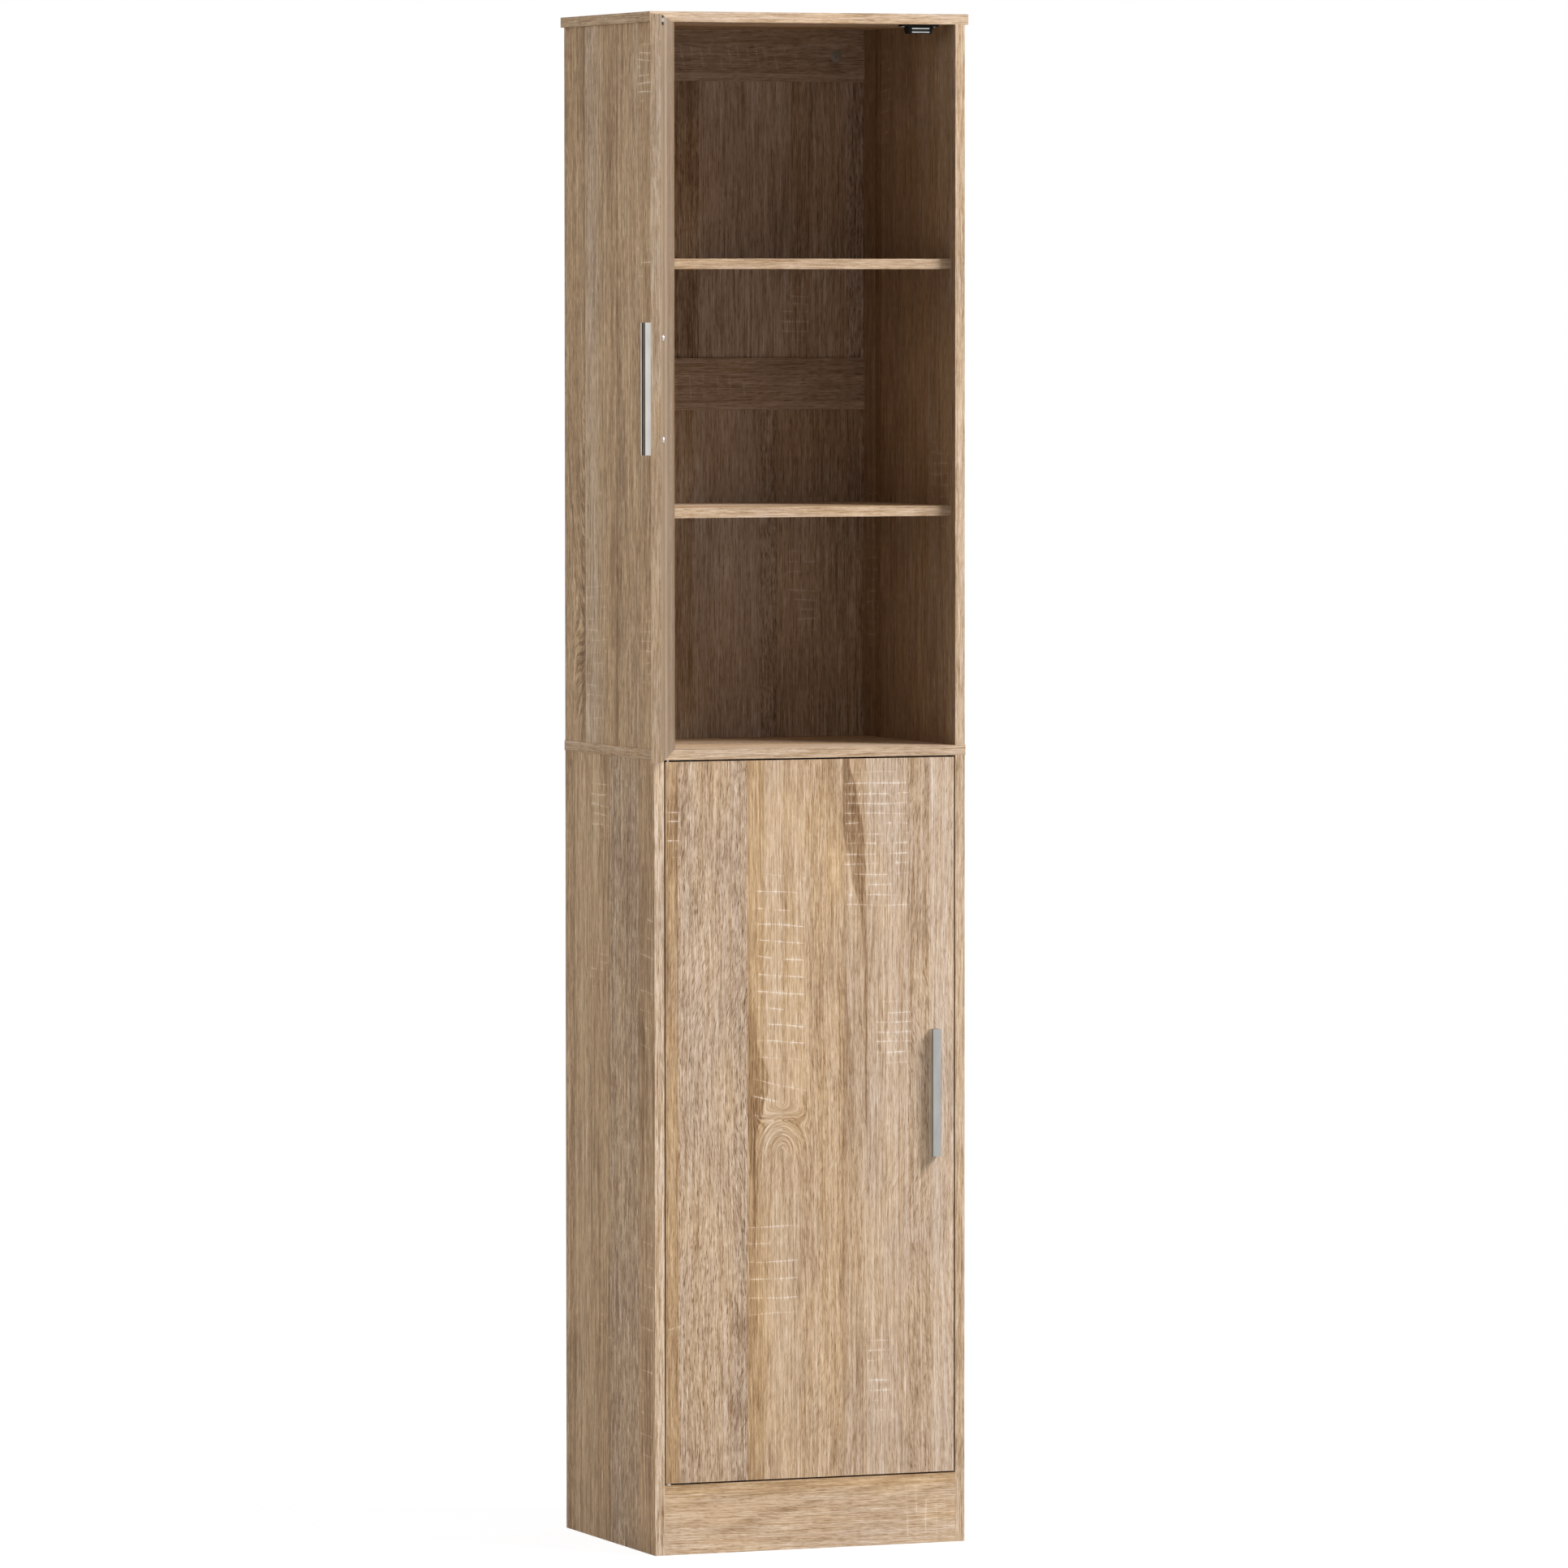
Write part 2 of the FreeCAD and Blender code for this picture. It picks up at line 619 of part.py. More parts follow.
def screw_joint(upper_piece, lower_piece, point):
    """A countersunk screw down through a board into the edge below it."""
    through = shift(point, "-Z", board)
    bore(upper_piece, point, "-Z", board_screw_radius + hole_play, board)
    countersink(
        upper_piece, point, "-Z", board_screw_head_radius, board_screw_radius, board_screw_head_height)
    bore(lower_piece, through, "-Z",
         board_screw_radius + hole_play, board_screw_length - board + hole_play)
    board_screw_places.append((point, "-Z"))


through_dowel_places = []
for side_name, joint_x, side_centre, towards in (
        ("left", left_inner, left_outer + board / 2, "-X"),
        ("right", right_inner, right_inner + board / 2, "+X")):
    upper_side = sides["upper", side_name]
    lower_side = sides["lower", side_name]
    for line in (front_line, back_line):
        dowel_joint(top_board, upper_side, (side_centre, line, top_level), "+Z")
        through_point = (side_centre, line, middle_level)
        bore(middle_board, through_point, "+Z", dowel_radius + hole_play, board)
        bore(lower_side, through_point, "-Z", dowel_radius + hole_play, dowel_long_end + hole_play)
        bore(upper_side, (side_centre, line, middle_top), "+Z",
             dowel_radius + hole_play, dowel_long_end + hole_play)
        through_dowel_places.append((through_point, "-Z"))
    for line in (front_screw_line, back_screw_line):
        screw_joint(top_board, upper_side, (side_centre, line, height))
        screw_joint(middle_board, lower_side, (side_centre, line, middle_top))
    for shelf_name, shelf in shelves.items():
        side = sides[shelf_name.split("_")[0], side_name]
        shelf_centre = shelf_levels[shelf_name] + board / 2
        dowel_joint(side, shelf, (joint_x, shelf_dowel_line, shelf_centre), towards)
        for line in (front_cam_line, back_cam_line):
            cam_joint(side, shelf, (joint_x, line, shelf_centre), towards, "+Z")
    bottom_centre = plinth_height - board / 2
    dowel_joint(lower_side, bottom_board, (joint_x, shelf_dowel_line, bottom_centre), towards)
    for line in (front_cam_line, back_cam_line):
        cam_joint(lower_side, bottom_board, (joint_x, line, bottom_centre), towards, "+Z")
    for rail_name, rail in rails.items():
        side = lower_side if rail_name == "lower_back_rail" else upper_side
        rail_middle = rail_levels[rail_name] + rail_height / 2
        cam_joint(side, rail, (joint_x, rail_centre, rail_middle + rail_fixing_offset), towards, "-Y")
        dowel_joint(side, rail, (joint_x, rail_centre, rail_middle - rail_fixing_offset), towards)
    dowel_joint(lower_side, plinth, (joint_x, board / 2, plinth_dowel_level), towards)
for spread in (-plinth_dowel_spread, plinth_dowel_spread):
    dowel_joint(plinth, bottom_board, (spread, board, plinth_height - board / 2), "-Y")

wall_screw_places = []
for spread in (-wall_screw_spread, wall_screw_spread):
    head_seat = (spread, rail_front, top_rail_bottom + rail_height / 2)
    bore(rails["top_back_rail"], head_seat, "+Y", wall_screw_radius + hole_play, board)
    wall_screw_places.append((head_seat, "+Y"))

group("dowels", dowel_pattern, dowel_places)
group("through_dowels", through_dowel_pattern, through_dowel_places)
group("cam_bolts", cam_bolt_pattern, bolt_places)
group("cam_locks", cam_lock_pattern, cam_places)
group("board_screws", board_screw_pattern, board_screw_places)
group("wall_screws", wall_screw_pattern, wall_screw_places)

# ---------------------------------------------------------------- doors, pivots and catches
socket_screw_places = []
catch_screw_places = []


def plate_screw_points(face_level, stagger):
    first = leaf_left + leaf_first_screw + stagger
    second = leaf_left + leaf_length - leaf_last_screw + stagger
    return [(first, leaf_centre_y, face_level), (second, leaf_centre_y, face_level)]


def plate_underside(face_level, wood_towards):
    return face_level - leaf_thickness if wood_towards == "-Z" else face_level


def pivot_plate(name, face_level, wood_towards, pin_hole_radius, stagger):
    """A flat plate let flush into an edge: pin hole near its corner, two countersunk holes."""
    plate = block(name, leaf_left, leaf_edge_inset, plate_underside(face_level, wood_towards),
                  leaf_length, leaf_width, leaf_thickness)
    bore(plate, (pivot_x, pivot_y, face_level), wood_towards, pin_hole_radius, leaf_thickness)
    for point in plate_screw_points(face_level, stagger):
        bore(plate, point, wood_towards, small_screw_radius + hole_play, leaf_thickness)
        countersink(
            plate, point, wood_towards, small_head_radius, small_screw_radius, small_head_height)
    return plate


def plate_recess(piece, face_level, wood_towards, screw_length, stagger):
    """The shallow recess and the screws' pilot holes that a pivot plate needs in the wood."""
    slot(piece, leaf_left - leaf_play, leaf_edge_inset - leaf_play,
         plate_underside(face_level, wood_towards),
         leaf_length + 2 * leaf_play, leaf_width + 2 * leaf_play, leaf_thickness)
    for point in plate_screw_points(face_level, stagger):
        bore(piece, point, wood_towards, small_screw_radius + hole_play, screw_length + hole_play)


def make_handle(name, level):
    """An extruded bar with a finger groove down each flank, padded along its length."""
    body = new_body(name)
    sketch = new_sketch(body, "XY_Plane", level - handle_length / 2)
    left = handle_x - handle_width / 2
    right = handle_x + handle_width / 2
    front = -handle_projection
    groove_start = front + handle_lip
    groove_end = groove_start + handle_groove_width
    groove_slope = handle_groove_depth / 2
    closed_outline(sketch, [
        (left, front),
        (right, front),
        (right, groove_start),
        (right - handle_groove_depth, groove_start + groove_slope),
        (right - handle_groove_depth, groove_end - groove_slope),
        (right, groove_end),
        (right, 0),
        (left, 0),
        (left, groove_end),
        (left + handle_groove_depth, groove_end - groove_slope),
        (left + handle_groove_depth, groove_start + groove_slope),
        (left, groove_start),
    ])
    pad = body.newObject("PartDesign::Pad", name + "_pad")
    pad.Profile = sketch
    bind(pad, "Length", handle_length)
    for point in handle_screw_points(level, as_size(0)):
        bore(body, point, "-Y", handle_screw_radius + hole_play, handle_screw_bite + hole_play)
    return body


def handle_screw_points(level, y):
    half = handle_screw_spacing / 2
    return [(handle_x, y, level - half), (handle_x, y, level + half)]


def make_catch(prefix, roof_piece, ceiling):
    """A magnet between two pole plates in a black case, screwed up under the board above."""
    pole_face = board + striker_thickness + striker_gap
    case_front = pole_face + pole_nose
    pocket_bottom = ceiling - catch_height + catch_wall
    pocket_height = 2 * pole_thickness + magnet_height
    case = new_body(prefix + "_catch_case")
    sketch = new_sketch(case, "XZ_Plane", -case_front - catch_depth)
    closed_outline(sketch, [
        (catch_centre - catch_foot, ceiling - catch_height),
        (catch_centre + catch_foot, ceiling - catch_height),
        (catch_centre + catch_shoulder, ceiling - catch_flange_height),
        (catch_centre + catch_flange, ceiling - catch_flange_height),
        (catch_centre + catch_flange, ceiling),
        (catch_centre - catch_flange, ceiling),
        (catch_centre - catch_flange, ceiling - catch_flange_height),
        (catch_centre - catch_shoulder, ceiling - catch_flange_height),
    ])
    pad = case.newObject("PartDesign::Pad", case.Name + "_pad")
    pad.Profile = sketch
    bind(pad, "Length", catch_depth)
    pole_left = catch_centre - pole_width / 2
    slot(case, pole_left - hole_play, case_front, pocket_bottom - hole_play,
         pole_width + 2 * hole_play, pole_depth - pole_nose, pocket_height + 2 * hole_play)
    for spread in (-catch_screw_spread, catch_screw_spread):
        seat = (catch_centre + spread, case_front + catch_depth / 2, ceiling - catch_flange_height)
        bore(case, seat, "+Z", small_screw_radius + hole_play, catch_flange_height)
        catch_screw_places.append((roof_piece, seat))
    high_pole_level = pocket_bottom + pole_thickness + magnet_height
    poles = []
    for where, level in (("low", pocket_bottom), ("high", high_pole_level)):
        poles.append(block("%s_%s_pole" % (prefix, where), pole_left, pole_face, level,
                           pole_width, pole_depth, pole_thickness))
    loose_pieces.extend(poles)
    pole_pair = doc.addObject("Part::Compound", prefix + "_catch_poles")
    pole_pair.Label = pole_pair.Name
    pole_pair.Links = poles
    block(prefix + "_catch_magnet", pole_left, case_front + magnet_setback, pocket_bottom + pole_thickness,
          pole_width, pole_depth - pole_nose - magnet_setback, magnet_height)
    return pocket_bottom + pocket_height / 2


def make_door(prefix, floor, roof, gap, handle_rise, stagger, opening):
    """One door with everything that swings with it, and the sockets and catch it meets.

    The floor and the roof are each the board beside the door's edge and the level of its face.
    """
    floor_piece, floor_level = floor
    roof_piece, roof_level = roof
    low = floor_level + gap
    high = roof_level - gap
    handle_level = (low + high) / 2 + handle_rise
    moving = []
    panel = block(prefix + "_door_panel", door_left, 0, low, door_right - door_left, board, high - low)
    moving.append(panel)
    pin_places = []
    leaf_screw_places = []
    edges = (
        ("bottom", low, "+Z", floor_piece, floor_level),
        ("top", high, "-Z", roof_piece, roof_level),
    )
    for where, edge_level, wood_towards, board_piece, board_level in edges:
        board_towards = OPPOSITE[wood_towards]
        leaf_name = "%s_door_%s_leaf" % (prefix, where)
        moving.append(pivot_plate(leaf_name, edge_level, wood_towards, pin_radius + hole_play, stagger))
        plate_recess(panel, edge_level, wood_towards, leaf_screw_length, stagger)
        bore(panel, (pivot_x, pivot_y, edge_level), wood_towards,
             pin_radius + hole_play, pin_door_depth + hole_play)
        for point in plate_screw_points(edge_level, stagger):
            leaf_screw_places.append((point, wood_towards))
        socket_name = "%s_door_%s_socket" % (prefix, where)
        pivot_plate(socket_name, board_level, board_towards, pin_radius + pin_running_play, stagger)
        plate_recess(board_piece, board_level, board_towards, short_screw_length, stagger)
        bore(board_piece, (pivot_x, pivot_y, board_level), board_towards,
             pin_radius + pin_end_room, pin_board_depth + pin_end_room)
        for point in plate_screw_points(board_level, stagger):
            socket_screw_places.append((point, board_towards))
        pin_places.append(((pivot_x, pivot_y, edge_level), board_towards))

    pin_reach = gap + pin_board_depth
    pin_pattern = turned(prefix + "_pin", [
        (0, -pin_reach),
        (pin_radius * 0.7, -pin_reach),
        (pin_radius, pin_radius * 0.3 - pin_reach),
        (pin_radius, pin_door_depth),
        (0, pin_door_depth),
    ])
    moving.append(group(prefix + "_door_pins", pin_pattern, pin_places))
    moving.append(group(prefix + "_door_leaf_screws", leaf_screw_pattern, leaf_screw_places))
    inner_radius = pin_radius + pin_running_play
    washer_thickness = gap - washer_play
    washer = turned(prefix + "_washer", [
        (inner_radius, -washer_thickness),
        (washer_radius, -washer_thickness),
        (washer_radius, 0),
        (inner_radius, 0),
    ])
    moving.append(group(prefix + "_door_washer", washer, [((pivot_x, pivot_y, low), "-Z")]))

    moving.append(make_handle(prefix + "_door_handle", handle_level))
    inside = handle_screw_points(handle_level, board)
    for point in inside:
        bore(panel, point, "-Y", handle_screw_radius + hole_play, board)
    handle_screw_places = [(point, "-Y") for point in inside]
    moving.append(group(prefix + "_door_handle_screws", handle_screw_pattern, handle_screw_places))

    striker_level = make_catch(prefix, roof_piece, roof_level)
    striker = block(
        prefix + "_door_striker", catch_centre - striker_width / 2, board,
        striker_level - striker_height / 2, striker_width, striker_thickness, striker_height)
    outside = (catch_centre, board + striker_thickness, striker_level)
    bore(striker, outside, "-Y", small_screw_radius + hole_play, striker_thickness)
    countersink(striker, outside, "-Y", small_head_radius, small_screw_radius, small_head_height)
    for offset in (-striker_hole_offset, striker_hole_offset):
        bore(striker, shift(outside, "+Z", offset), "-Y", striker_hole_radius, striker_thickness)
    bore(panel, (catch_centre, board, striker_level), "-Y",
         small_screw_radius + hole_play, short_screw_length - striker_thickness + hole_play)
    moving.append(striker)
    moving.append(group(prefix + "_door_striker_screw", short_screw_pattern, [(outside, "-Y")]))
    for piece in moving:
        swing(piece, opening)


make_door("upper", (middle_board, middle_top), (top_board, top_level), upper_door_gap,
          upper_handle_rise, as_size(0), upper_door_opening)
make_door("lower", (plinth, plinth_height), (middle_board, middle_level), lower_door_gap,
          lower_handle_rise, leaf_screw_stagger, lower_door_opening)
for roof, seat in catch_screw_places:
    bore(roof, shift(seat, "+Z", catch_flange_height), "+Z",
         small_screw_radius + hole_play, short_screw_length + hole_play)
group("socket_screws", short_screw_pattern, socket_screw_places)
group("catch_screws", catch_screw_pattern, [(seat, "+Z") for roof, seat in catch_screw_places])

# ---------------------------------------------------------------- check and write
doc.recompute()
failed = [thing.Name for thing in doc.Objects if "Invalid" in thing.State or "Error" in thing.State]
if failed:
    raise RuntimeError("failed features: " + ", ".join(failed))

nodes = []
for thing in doc.Objects:
    if thing.TypeId in ("PartDesign::Body", "Part::Compound") and thing not in loose_pieces:
        nodes.append(thing)
for node in nodes:
    if node.Shape.isNull() or not node.Shape.isValid():
        raise RuntimeError("bad shape: " + node.Label)
os.makedirs("parts", exist_ok=True)
for node in nodes:
    node.Shape.exportStep("parts/%s.step" % node.Label)
print("%d nodes written" % len(nodes))
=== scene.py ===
# %% [markdown]
# # A tall bathroom cabinet in sawn-oak foil
# The cabinet is chipboard wrapped in a printed wood foil, with aluminium bar handles and small steel
# and plastic fittings. Its shape comes ready made from the CAD frame, so this script is about what
# the surfaces are. It gives each board its own piece of foil and each fitting its finish, eases the
# sharp edges, and lights the whole.

import json
import math
import random

import bpy
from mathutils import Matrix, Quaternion, Vector


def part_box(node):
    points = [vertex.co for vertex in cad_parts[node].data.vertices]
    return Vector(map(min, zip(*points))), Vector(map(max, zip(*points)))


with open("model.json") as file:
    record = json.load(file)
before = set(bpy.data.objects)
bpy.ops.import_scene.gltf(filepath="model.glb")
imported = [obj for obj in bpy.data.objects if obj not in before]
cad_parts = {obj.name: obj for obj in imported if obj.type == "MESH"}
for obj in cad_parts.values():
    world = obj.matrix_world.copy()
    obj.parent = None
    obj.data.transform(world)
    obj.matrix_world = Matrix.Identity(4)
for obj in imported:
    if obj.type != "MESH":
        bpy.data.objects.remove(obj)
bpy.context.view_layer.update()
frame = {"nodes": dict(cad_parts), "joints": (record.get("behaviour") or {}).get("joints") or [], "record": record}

# %% [markdown]
# ## The camera
# The photograph was taken from far off with a long lens, from the cabinet's left. Its place, aim and
# focal length were worked out from the cabinet's straight edges. A matrix could be written down, but
# a heading, a dip and a small roll are easier to read and to change.

# %% The camera
PLACE = (-4.411566, -11.079333, 1.468963)
PHOTO_SIDE = 1932
FOCAL_IN_PIXELS = 12564.8
SENSOR = 36.0
HEADING = math.radians(21.5626)
DIP = math.radians(2.7351)
ROLL = math.radians(-0.0347)

lens = bpy.data.cameras.new("long_lens")
lens.sensor_width = SENSOR
lens.lens = FOCAL_IN_PIXELS * SENSOR / PHOTO_SIDE
lens.clip_end = 60
camera = bpy.data.objects.new("camera", lens)
bpy.context.scene.collection.objects.link(camera)
bpy.context.scene.camera = camera
aim = Vector((math.sin(HEADING) * math.cos(DIP), math.cos(HEADING) * math.cos(DIP), -math.sin(DIP)))
camera.location = PLACE
camera.rotation_mode = "QUATERNION"
camera.rotation_quaternion = aim.to_track_quat("-Z", "Y") @ Quaternion((0, 0, 1), ROLL)
print("lens", round(lens.lens, 1), "mm")

# %% [markdown]
# ## Shader sums as Python sums
# A material is a sum of many small patterns, and drawing it node by node hides the sum. This class
# holds one output socket, so that `1 - mask * 0.5` adds the Math nodes by itself. Every other kind
# of node comes from its one method `add`, which takes the node's type, its settings, and the values
# or links of its sockets.

# %% A wire between nodes
class Wire:
    """One output socket of a material's nodes, which can be added, multiplied and so on."""

    def __init__(self, tree, socket=None):
        self.tree = tree
        self.socket = socket

    def add(self, kind, settings=None, sockets=None, out=0):
        """A new node: its settings are made first, then its sockets get values or links."""
        node = self.tree.nodes.new(kind)
        for name, value in (settings or {}).items():
            if name == "stops":
                fill_ramp(node.color_ramp, value)
            else:
                setattr(node, name, value)
        for name, value in (sockets or {}).items():
            if isinstance(value, Wire):
                self.tree.links.new(value.socket, node.inputs[name])
            else:
                node.inputs[name].default_value = value
        return Wire(self.tree, node.outputs[out] if node.outputs else None)

    def math(self, operation, a, b=0.0, c=0.0):
        return self.add("ShaderNodeMath", {"operation": operation}, {0: a, 1: b, 2: c})

    def __add__(self, other):
        return self.math("ADD", self, other)

    def __sub__(self, other):
        return self.math("SUBTRACT", self, other)

    def __mul__(self, other):
        return self.math("MULTIPLY", self, other)

    def __truediv__(self, other):
        return self.math("DIVIDE", self, other)

    def __rsub__(self, other):
        return self.math("SUBTRACT", other, self)

    def __gt__(self, other):
        return self.math("GREATER_THAN", self, other)

    __radd__ = __add__
    __rmul__ = __mul__

    def abs(self):
        return self.math("ABSOLUTE", self)

    def sin(self):
        return self.math("SINE", self)

    def fract(self):
        return self.math("FRACT", self)

    def power(self, exponent):
        return self.math("POWER", self, exponent)

    def ease(self, low, high):
        """0 below low, 1 above high, and a soft step between them."""
        return self.add("ShaderNodeMapRange", {"interpolation_type": "SMOOTHSTEP"},
                        {"Value": self, "From Min": low, "From Max": high})

    def dot(self, direction):
        """How far this vector reaches along a fixed direction."""
        return self.add("ShaderNodeVectorMath", {"operation": "DOT_PRODUCT"},
                        {0: self, 1: direction}, out="Value")

    def colour(self, stops, kind="LINEAR"):
        """This value's place on a ramp of (position, colour) stops."""
        return self.add("ShaderNodeValToRGB", {"stops": (stops, kind)}, {0: self})


def fill_ramp(ramp, stops_and_kind):
    """Gives a colour ramp its (position, colour) stops and its kind of steps."""
    stops, ramp.interpolation = stops_and_kind
    while len(ramp.elements) < len(stops):
        ramp.elements.new(0.5)
    for element, (position, colour) in zip(ramp.elements, stops):
        element.position = position
        element.color = (*colour, 1.0)

# %% [markdown]
# ## Patterns and surfaces
# Every finish here is built in the same few moves: a noise is laid over the surface, turned into
# colours, and given to one Principled shader with a very slight bump. Each move gets a function, so
# that a finish further down reads as what it is made of. A bump's height is given in millimetres,
# because that can be compared with the real skin of foil, metal or plastic.

# %% The moves that every finish uses
def mix_colours(nodes, amount, a, b, how="MIX"):
    """Colour a, going over to colour b as amount goes from 0 to 1."""
    a = a if isinstance(a, Wire) else (*a, 1.0)
    b = b if isinstance(b, Wire) else (*b, 1.0)
    return nodes.add("ShaderNodeMix", {"data_type": "RGBA", "blend_type": how},
                     {0: amount, 6: a, 7: b}, out=2)


def noise(nodes, x, y, z, detail=2.0, roughness=0.5):
    """Smooth noise from 0 to 1 at a point that is already in noise cells."""
    point = nodes.add("ShaderNodeCombineXYZ", {}, {0: x, 1: y, 2: z})
    return nodes.add("ShaderNodeTexNoise", {}, {
        "Vector": point, "Scale": 1.0, "Detail": detail, "Roughness": roughness})


def new_material(name):
    """An empty material, and a Wire that adds nodes to it."""
    material = bpy.data.materials.new(name)
    material.use_nodes = True
    material.node_tree.nodes.clear()
    return material, Wire(material.node_tree)


def finish_surface(nodes, colour, roughness, metallic=0.0, normal=None, **fixed):
    """The Principled shader and the output; fixed values go straight on its sockets."""
    sockets = {"Base Color": colour if isinstance(colour, Wire) else (*colour, 1.0),
               "Roughness": roughness, "Metallic": metallic, **fixed}
    if normal is not None:
        sockets["Normal"] = normal
    shader = nodes.add("ShaderNodeBsdfPrincipled", {}, sockets)
    nodes.add("ShaderNodeOutputMaterial", {}, {"Surface": shader})


def bump(nodes, height, millimetres):
    """A normal tilted by a height map whose full range is that many millimetres."""
    return nodes.add("ShaderNodeBump", {}, {"Height": height, "Distance": millimetres / 1000,
                                            "Strength": 1.0})

# %% [markdown]
# ## The foil: where a point lies on a board
# The foil's pattern runs along a board's grain, so everything is worked out in board coordinates:
# `along` the grain, `across` it, and `through` the board's thickness. Object coordinates are used
# because they stay with a piece when its door swings. The upper door was built standing open, so its
# directions are turned by the angle that its joint would need to shut it.

# %% Board coordinates
X, Y, Z = Vector((1, 0, 0)), Vector((0, 1, 0)), Vector((0, 0, 1))
SWING = next(joint for joint in frame["joints"] if joint["name"] == "upper_door_swing")
DOOR_OPEN = math.radians(SWING["range_deg"][0])
PIVOT = Vector((SWING["pos_m"][0], SWING["pos_m"][1], 0))
OPEN_X = Vector((math.cos(DOOR_OPEN), math.sin(DOOR_OPEN), 0))
OPEN_Y = Vector((-math.sin(DOOR_OPEN), math.cos(DOOR_OPEN), 0))


def board_coordinates(nodes, along, across, through, origin):
    """The three distances in metres from origin, and which kind of face the point is on.

    On a board's ends the tape's grain runs across the board, so there the axes trade places.
    """
    place = nodes.add("ShaderNodeTexCoord", out="Object")
    facing = nodes.add("ShaderNodeTexCoord", out="Normal")
    on_end = facing.dot(along).abs() > 0.7
    on_side = facing.dot(across).abs() > 0.7
    u = place.dot(along) - origin.dot(along)
    v = place.dot(across) - origin.dot(across)
    w = place.dot(through) - origin.dot(through)
    u_here = u + on_end * (v - u)
    v_here = v + on_end * (w - v)
    w_here = w + on_end * (u - w)
    return (u_here, v_here, w_here), (u, v, w), on_end, on_side


print("the upper door stands", round(-math.degrees(DOOR_OPEN), 1), "degrees open")

# %% [markdown]
# ## The foil: strips of different planks
# A sawn-oak foil is a print of planks laid side by side. Each strip has its own tone, its own share
# of dark pores and its own warmth, from greyish to golden, and the strips meet at straight lines. A
# colour ramp with constant stops holds three numbers per strip in its red, green and blue, which is
# far cheaper than a noise for each property.

# %% Strips
PLANKS = {"smooth": (0.56, 0.25, 0.75), "coarse": (0.52, 0.95, 0.25),
          "brown": (0.44, 0.45, 0.80), "pale": (0.64, 0.20, 0.35)}
MIDDLE_TONE = 0.54


def plank_strips(seed, width, contrast=1.0):
    """Made-up strips across a board: (where it starts, tone, pores, warmth)."""
    draw = random.Random(seed)
    strips = []
    start = 0.0
    while start < width:
        tone, pores, warmth = PLANKS[draw.choice(("smooth", "smooth", "coarse", "brown", "pale"))]
        tone = MIDDLE_TONE + (tone - MIDDLE_TONE + draw.uniform(-0.03, 0.03)) * contrast
        strips.append((start, tone, pores, warmth))
        start += draw.uniform(0.02, 0.09)
    return strips


def three_numbers(wire, stops, kind):
    """A ramp that carries three numbers, as three wires."""
    node = wire.add("ShaderNodeSeparateColor", {}, {0: wire.colour(stops, kind)}).socket.node
    return [Wire(wire.tree, out) for out in node.outputs]


print("strips of a made-up board 0.3 m wide start at",
      [round(strip[0], 3) for strip in plank_strips(1, 0.3)])

# %% [markdown]
# ## The foil: saw marks
# The pale lines across the grain are what the saw's teeth left. They come in ladders: rungs about a
# centimetre apart over one part of a strip, with a few thin rails along the grain, all of them
# broken where the tooth skipped. Each ladder is a window in along and across, times pulses along.

# %% Ladders of saw marks
SAW_SWAY = 0.0085
RAIL_SPACING = 0.0113
RUNG_SPACINGS = (0.0105, 0.012, 0.017)


def window(wire, low, high, soft):
    """1 between low and high, with soft ends inside them."""
    return wire.ease(low, low + soft) * wire.ease(high, high - soft)


def ladder(nodes, u, v, shift, v_low, v_high, u_low, u_high, spacing, tilt, strength):
    """Pale rungs in one window of the face; tilt is how far a rung drops per metre across."""
    sway = (noise(nodes, v * 12, u * 38, shift + u_low, 1.0) - 0.5) * SAW_SWAY
    rung = (((u + (v - v_low) * tilt + sway) / spacing).fract() - 0.5).abs()
    strokes = noise(nodes, v * 900, u * 42, shift, 1.0)
    halo = rung.ease(0.0052 / spacing, 0.0) * strokes.ease(0.50, 0.72) * 0.8
    line = rung.ease(0.0011 / spacing, 0.0001 / spacing) * strokes.ease(0.26, 0.52)
    rail = (((v + sway * 0.5) / RAIL_SPACING).fract() - 0.5).abs().ease(0.06, 0.01)
    skips = noise(nodes, v * 42, u * 55, shift + 1, 2.0)
    marks = (line + halo) * skips.ease(0.38, 0.58) + rail * skips.ease(0.48, 0.66) * 0.30
    inside = window(v, v_low, v_high, 0.006) * window(u, u_low, u_high, 0.030)
    return marks * inside * strength


def made_up_ladders(seed, strips, length):
    """At most three ladders, each inside one strip."""
    draw = random.Random(seed * 17 + 3)
    ladders = []
    for strip, after in zip(strips, strips[1:]):
        if draw.random() < 0.62:
            left, right = strip[0], min(after[0], strip[0] + 0.05)
            low = draw.uniform(0.0, max(0.01, length - 0.25))
            high = low + draw.uniform(0.12, 0.30)
            spacing = draw.choice(RUNG_SPACINGS)
            tilt = draw.uniform(-0.1, 0.25)
            strength = draw.uniform(0.6, 1.0)
            ladders.append((left, right, low, high, spacing, tilt, strength))
    return ladders[:3]


print("rungs are", [round(spacing * 1000, 1) for spacing in RUNG_SPACINGS], "mm apart")

# %% [markdown]
# ## The foil: dark bands and arches
# Two more things break a plank's straight lines. A band is heartwood that widens, narrows and
# wanders; its middle, half width and strength at a few heights go through one ramp. An arch is
# where growth rings close over a knot: past its centre they are round, and before it they run
# straight along the grain, so the distance that draws them forgets how far before it a point is.
# Rings drawn out along the grain are the flames of a board that was sawn beside the heart.

# %% Bands and arches
HALF_TIMES = 10
SOFT_EDGE = 0.0009


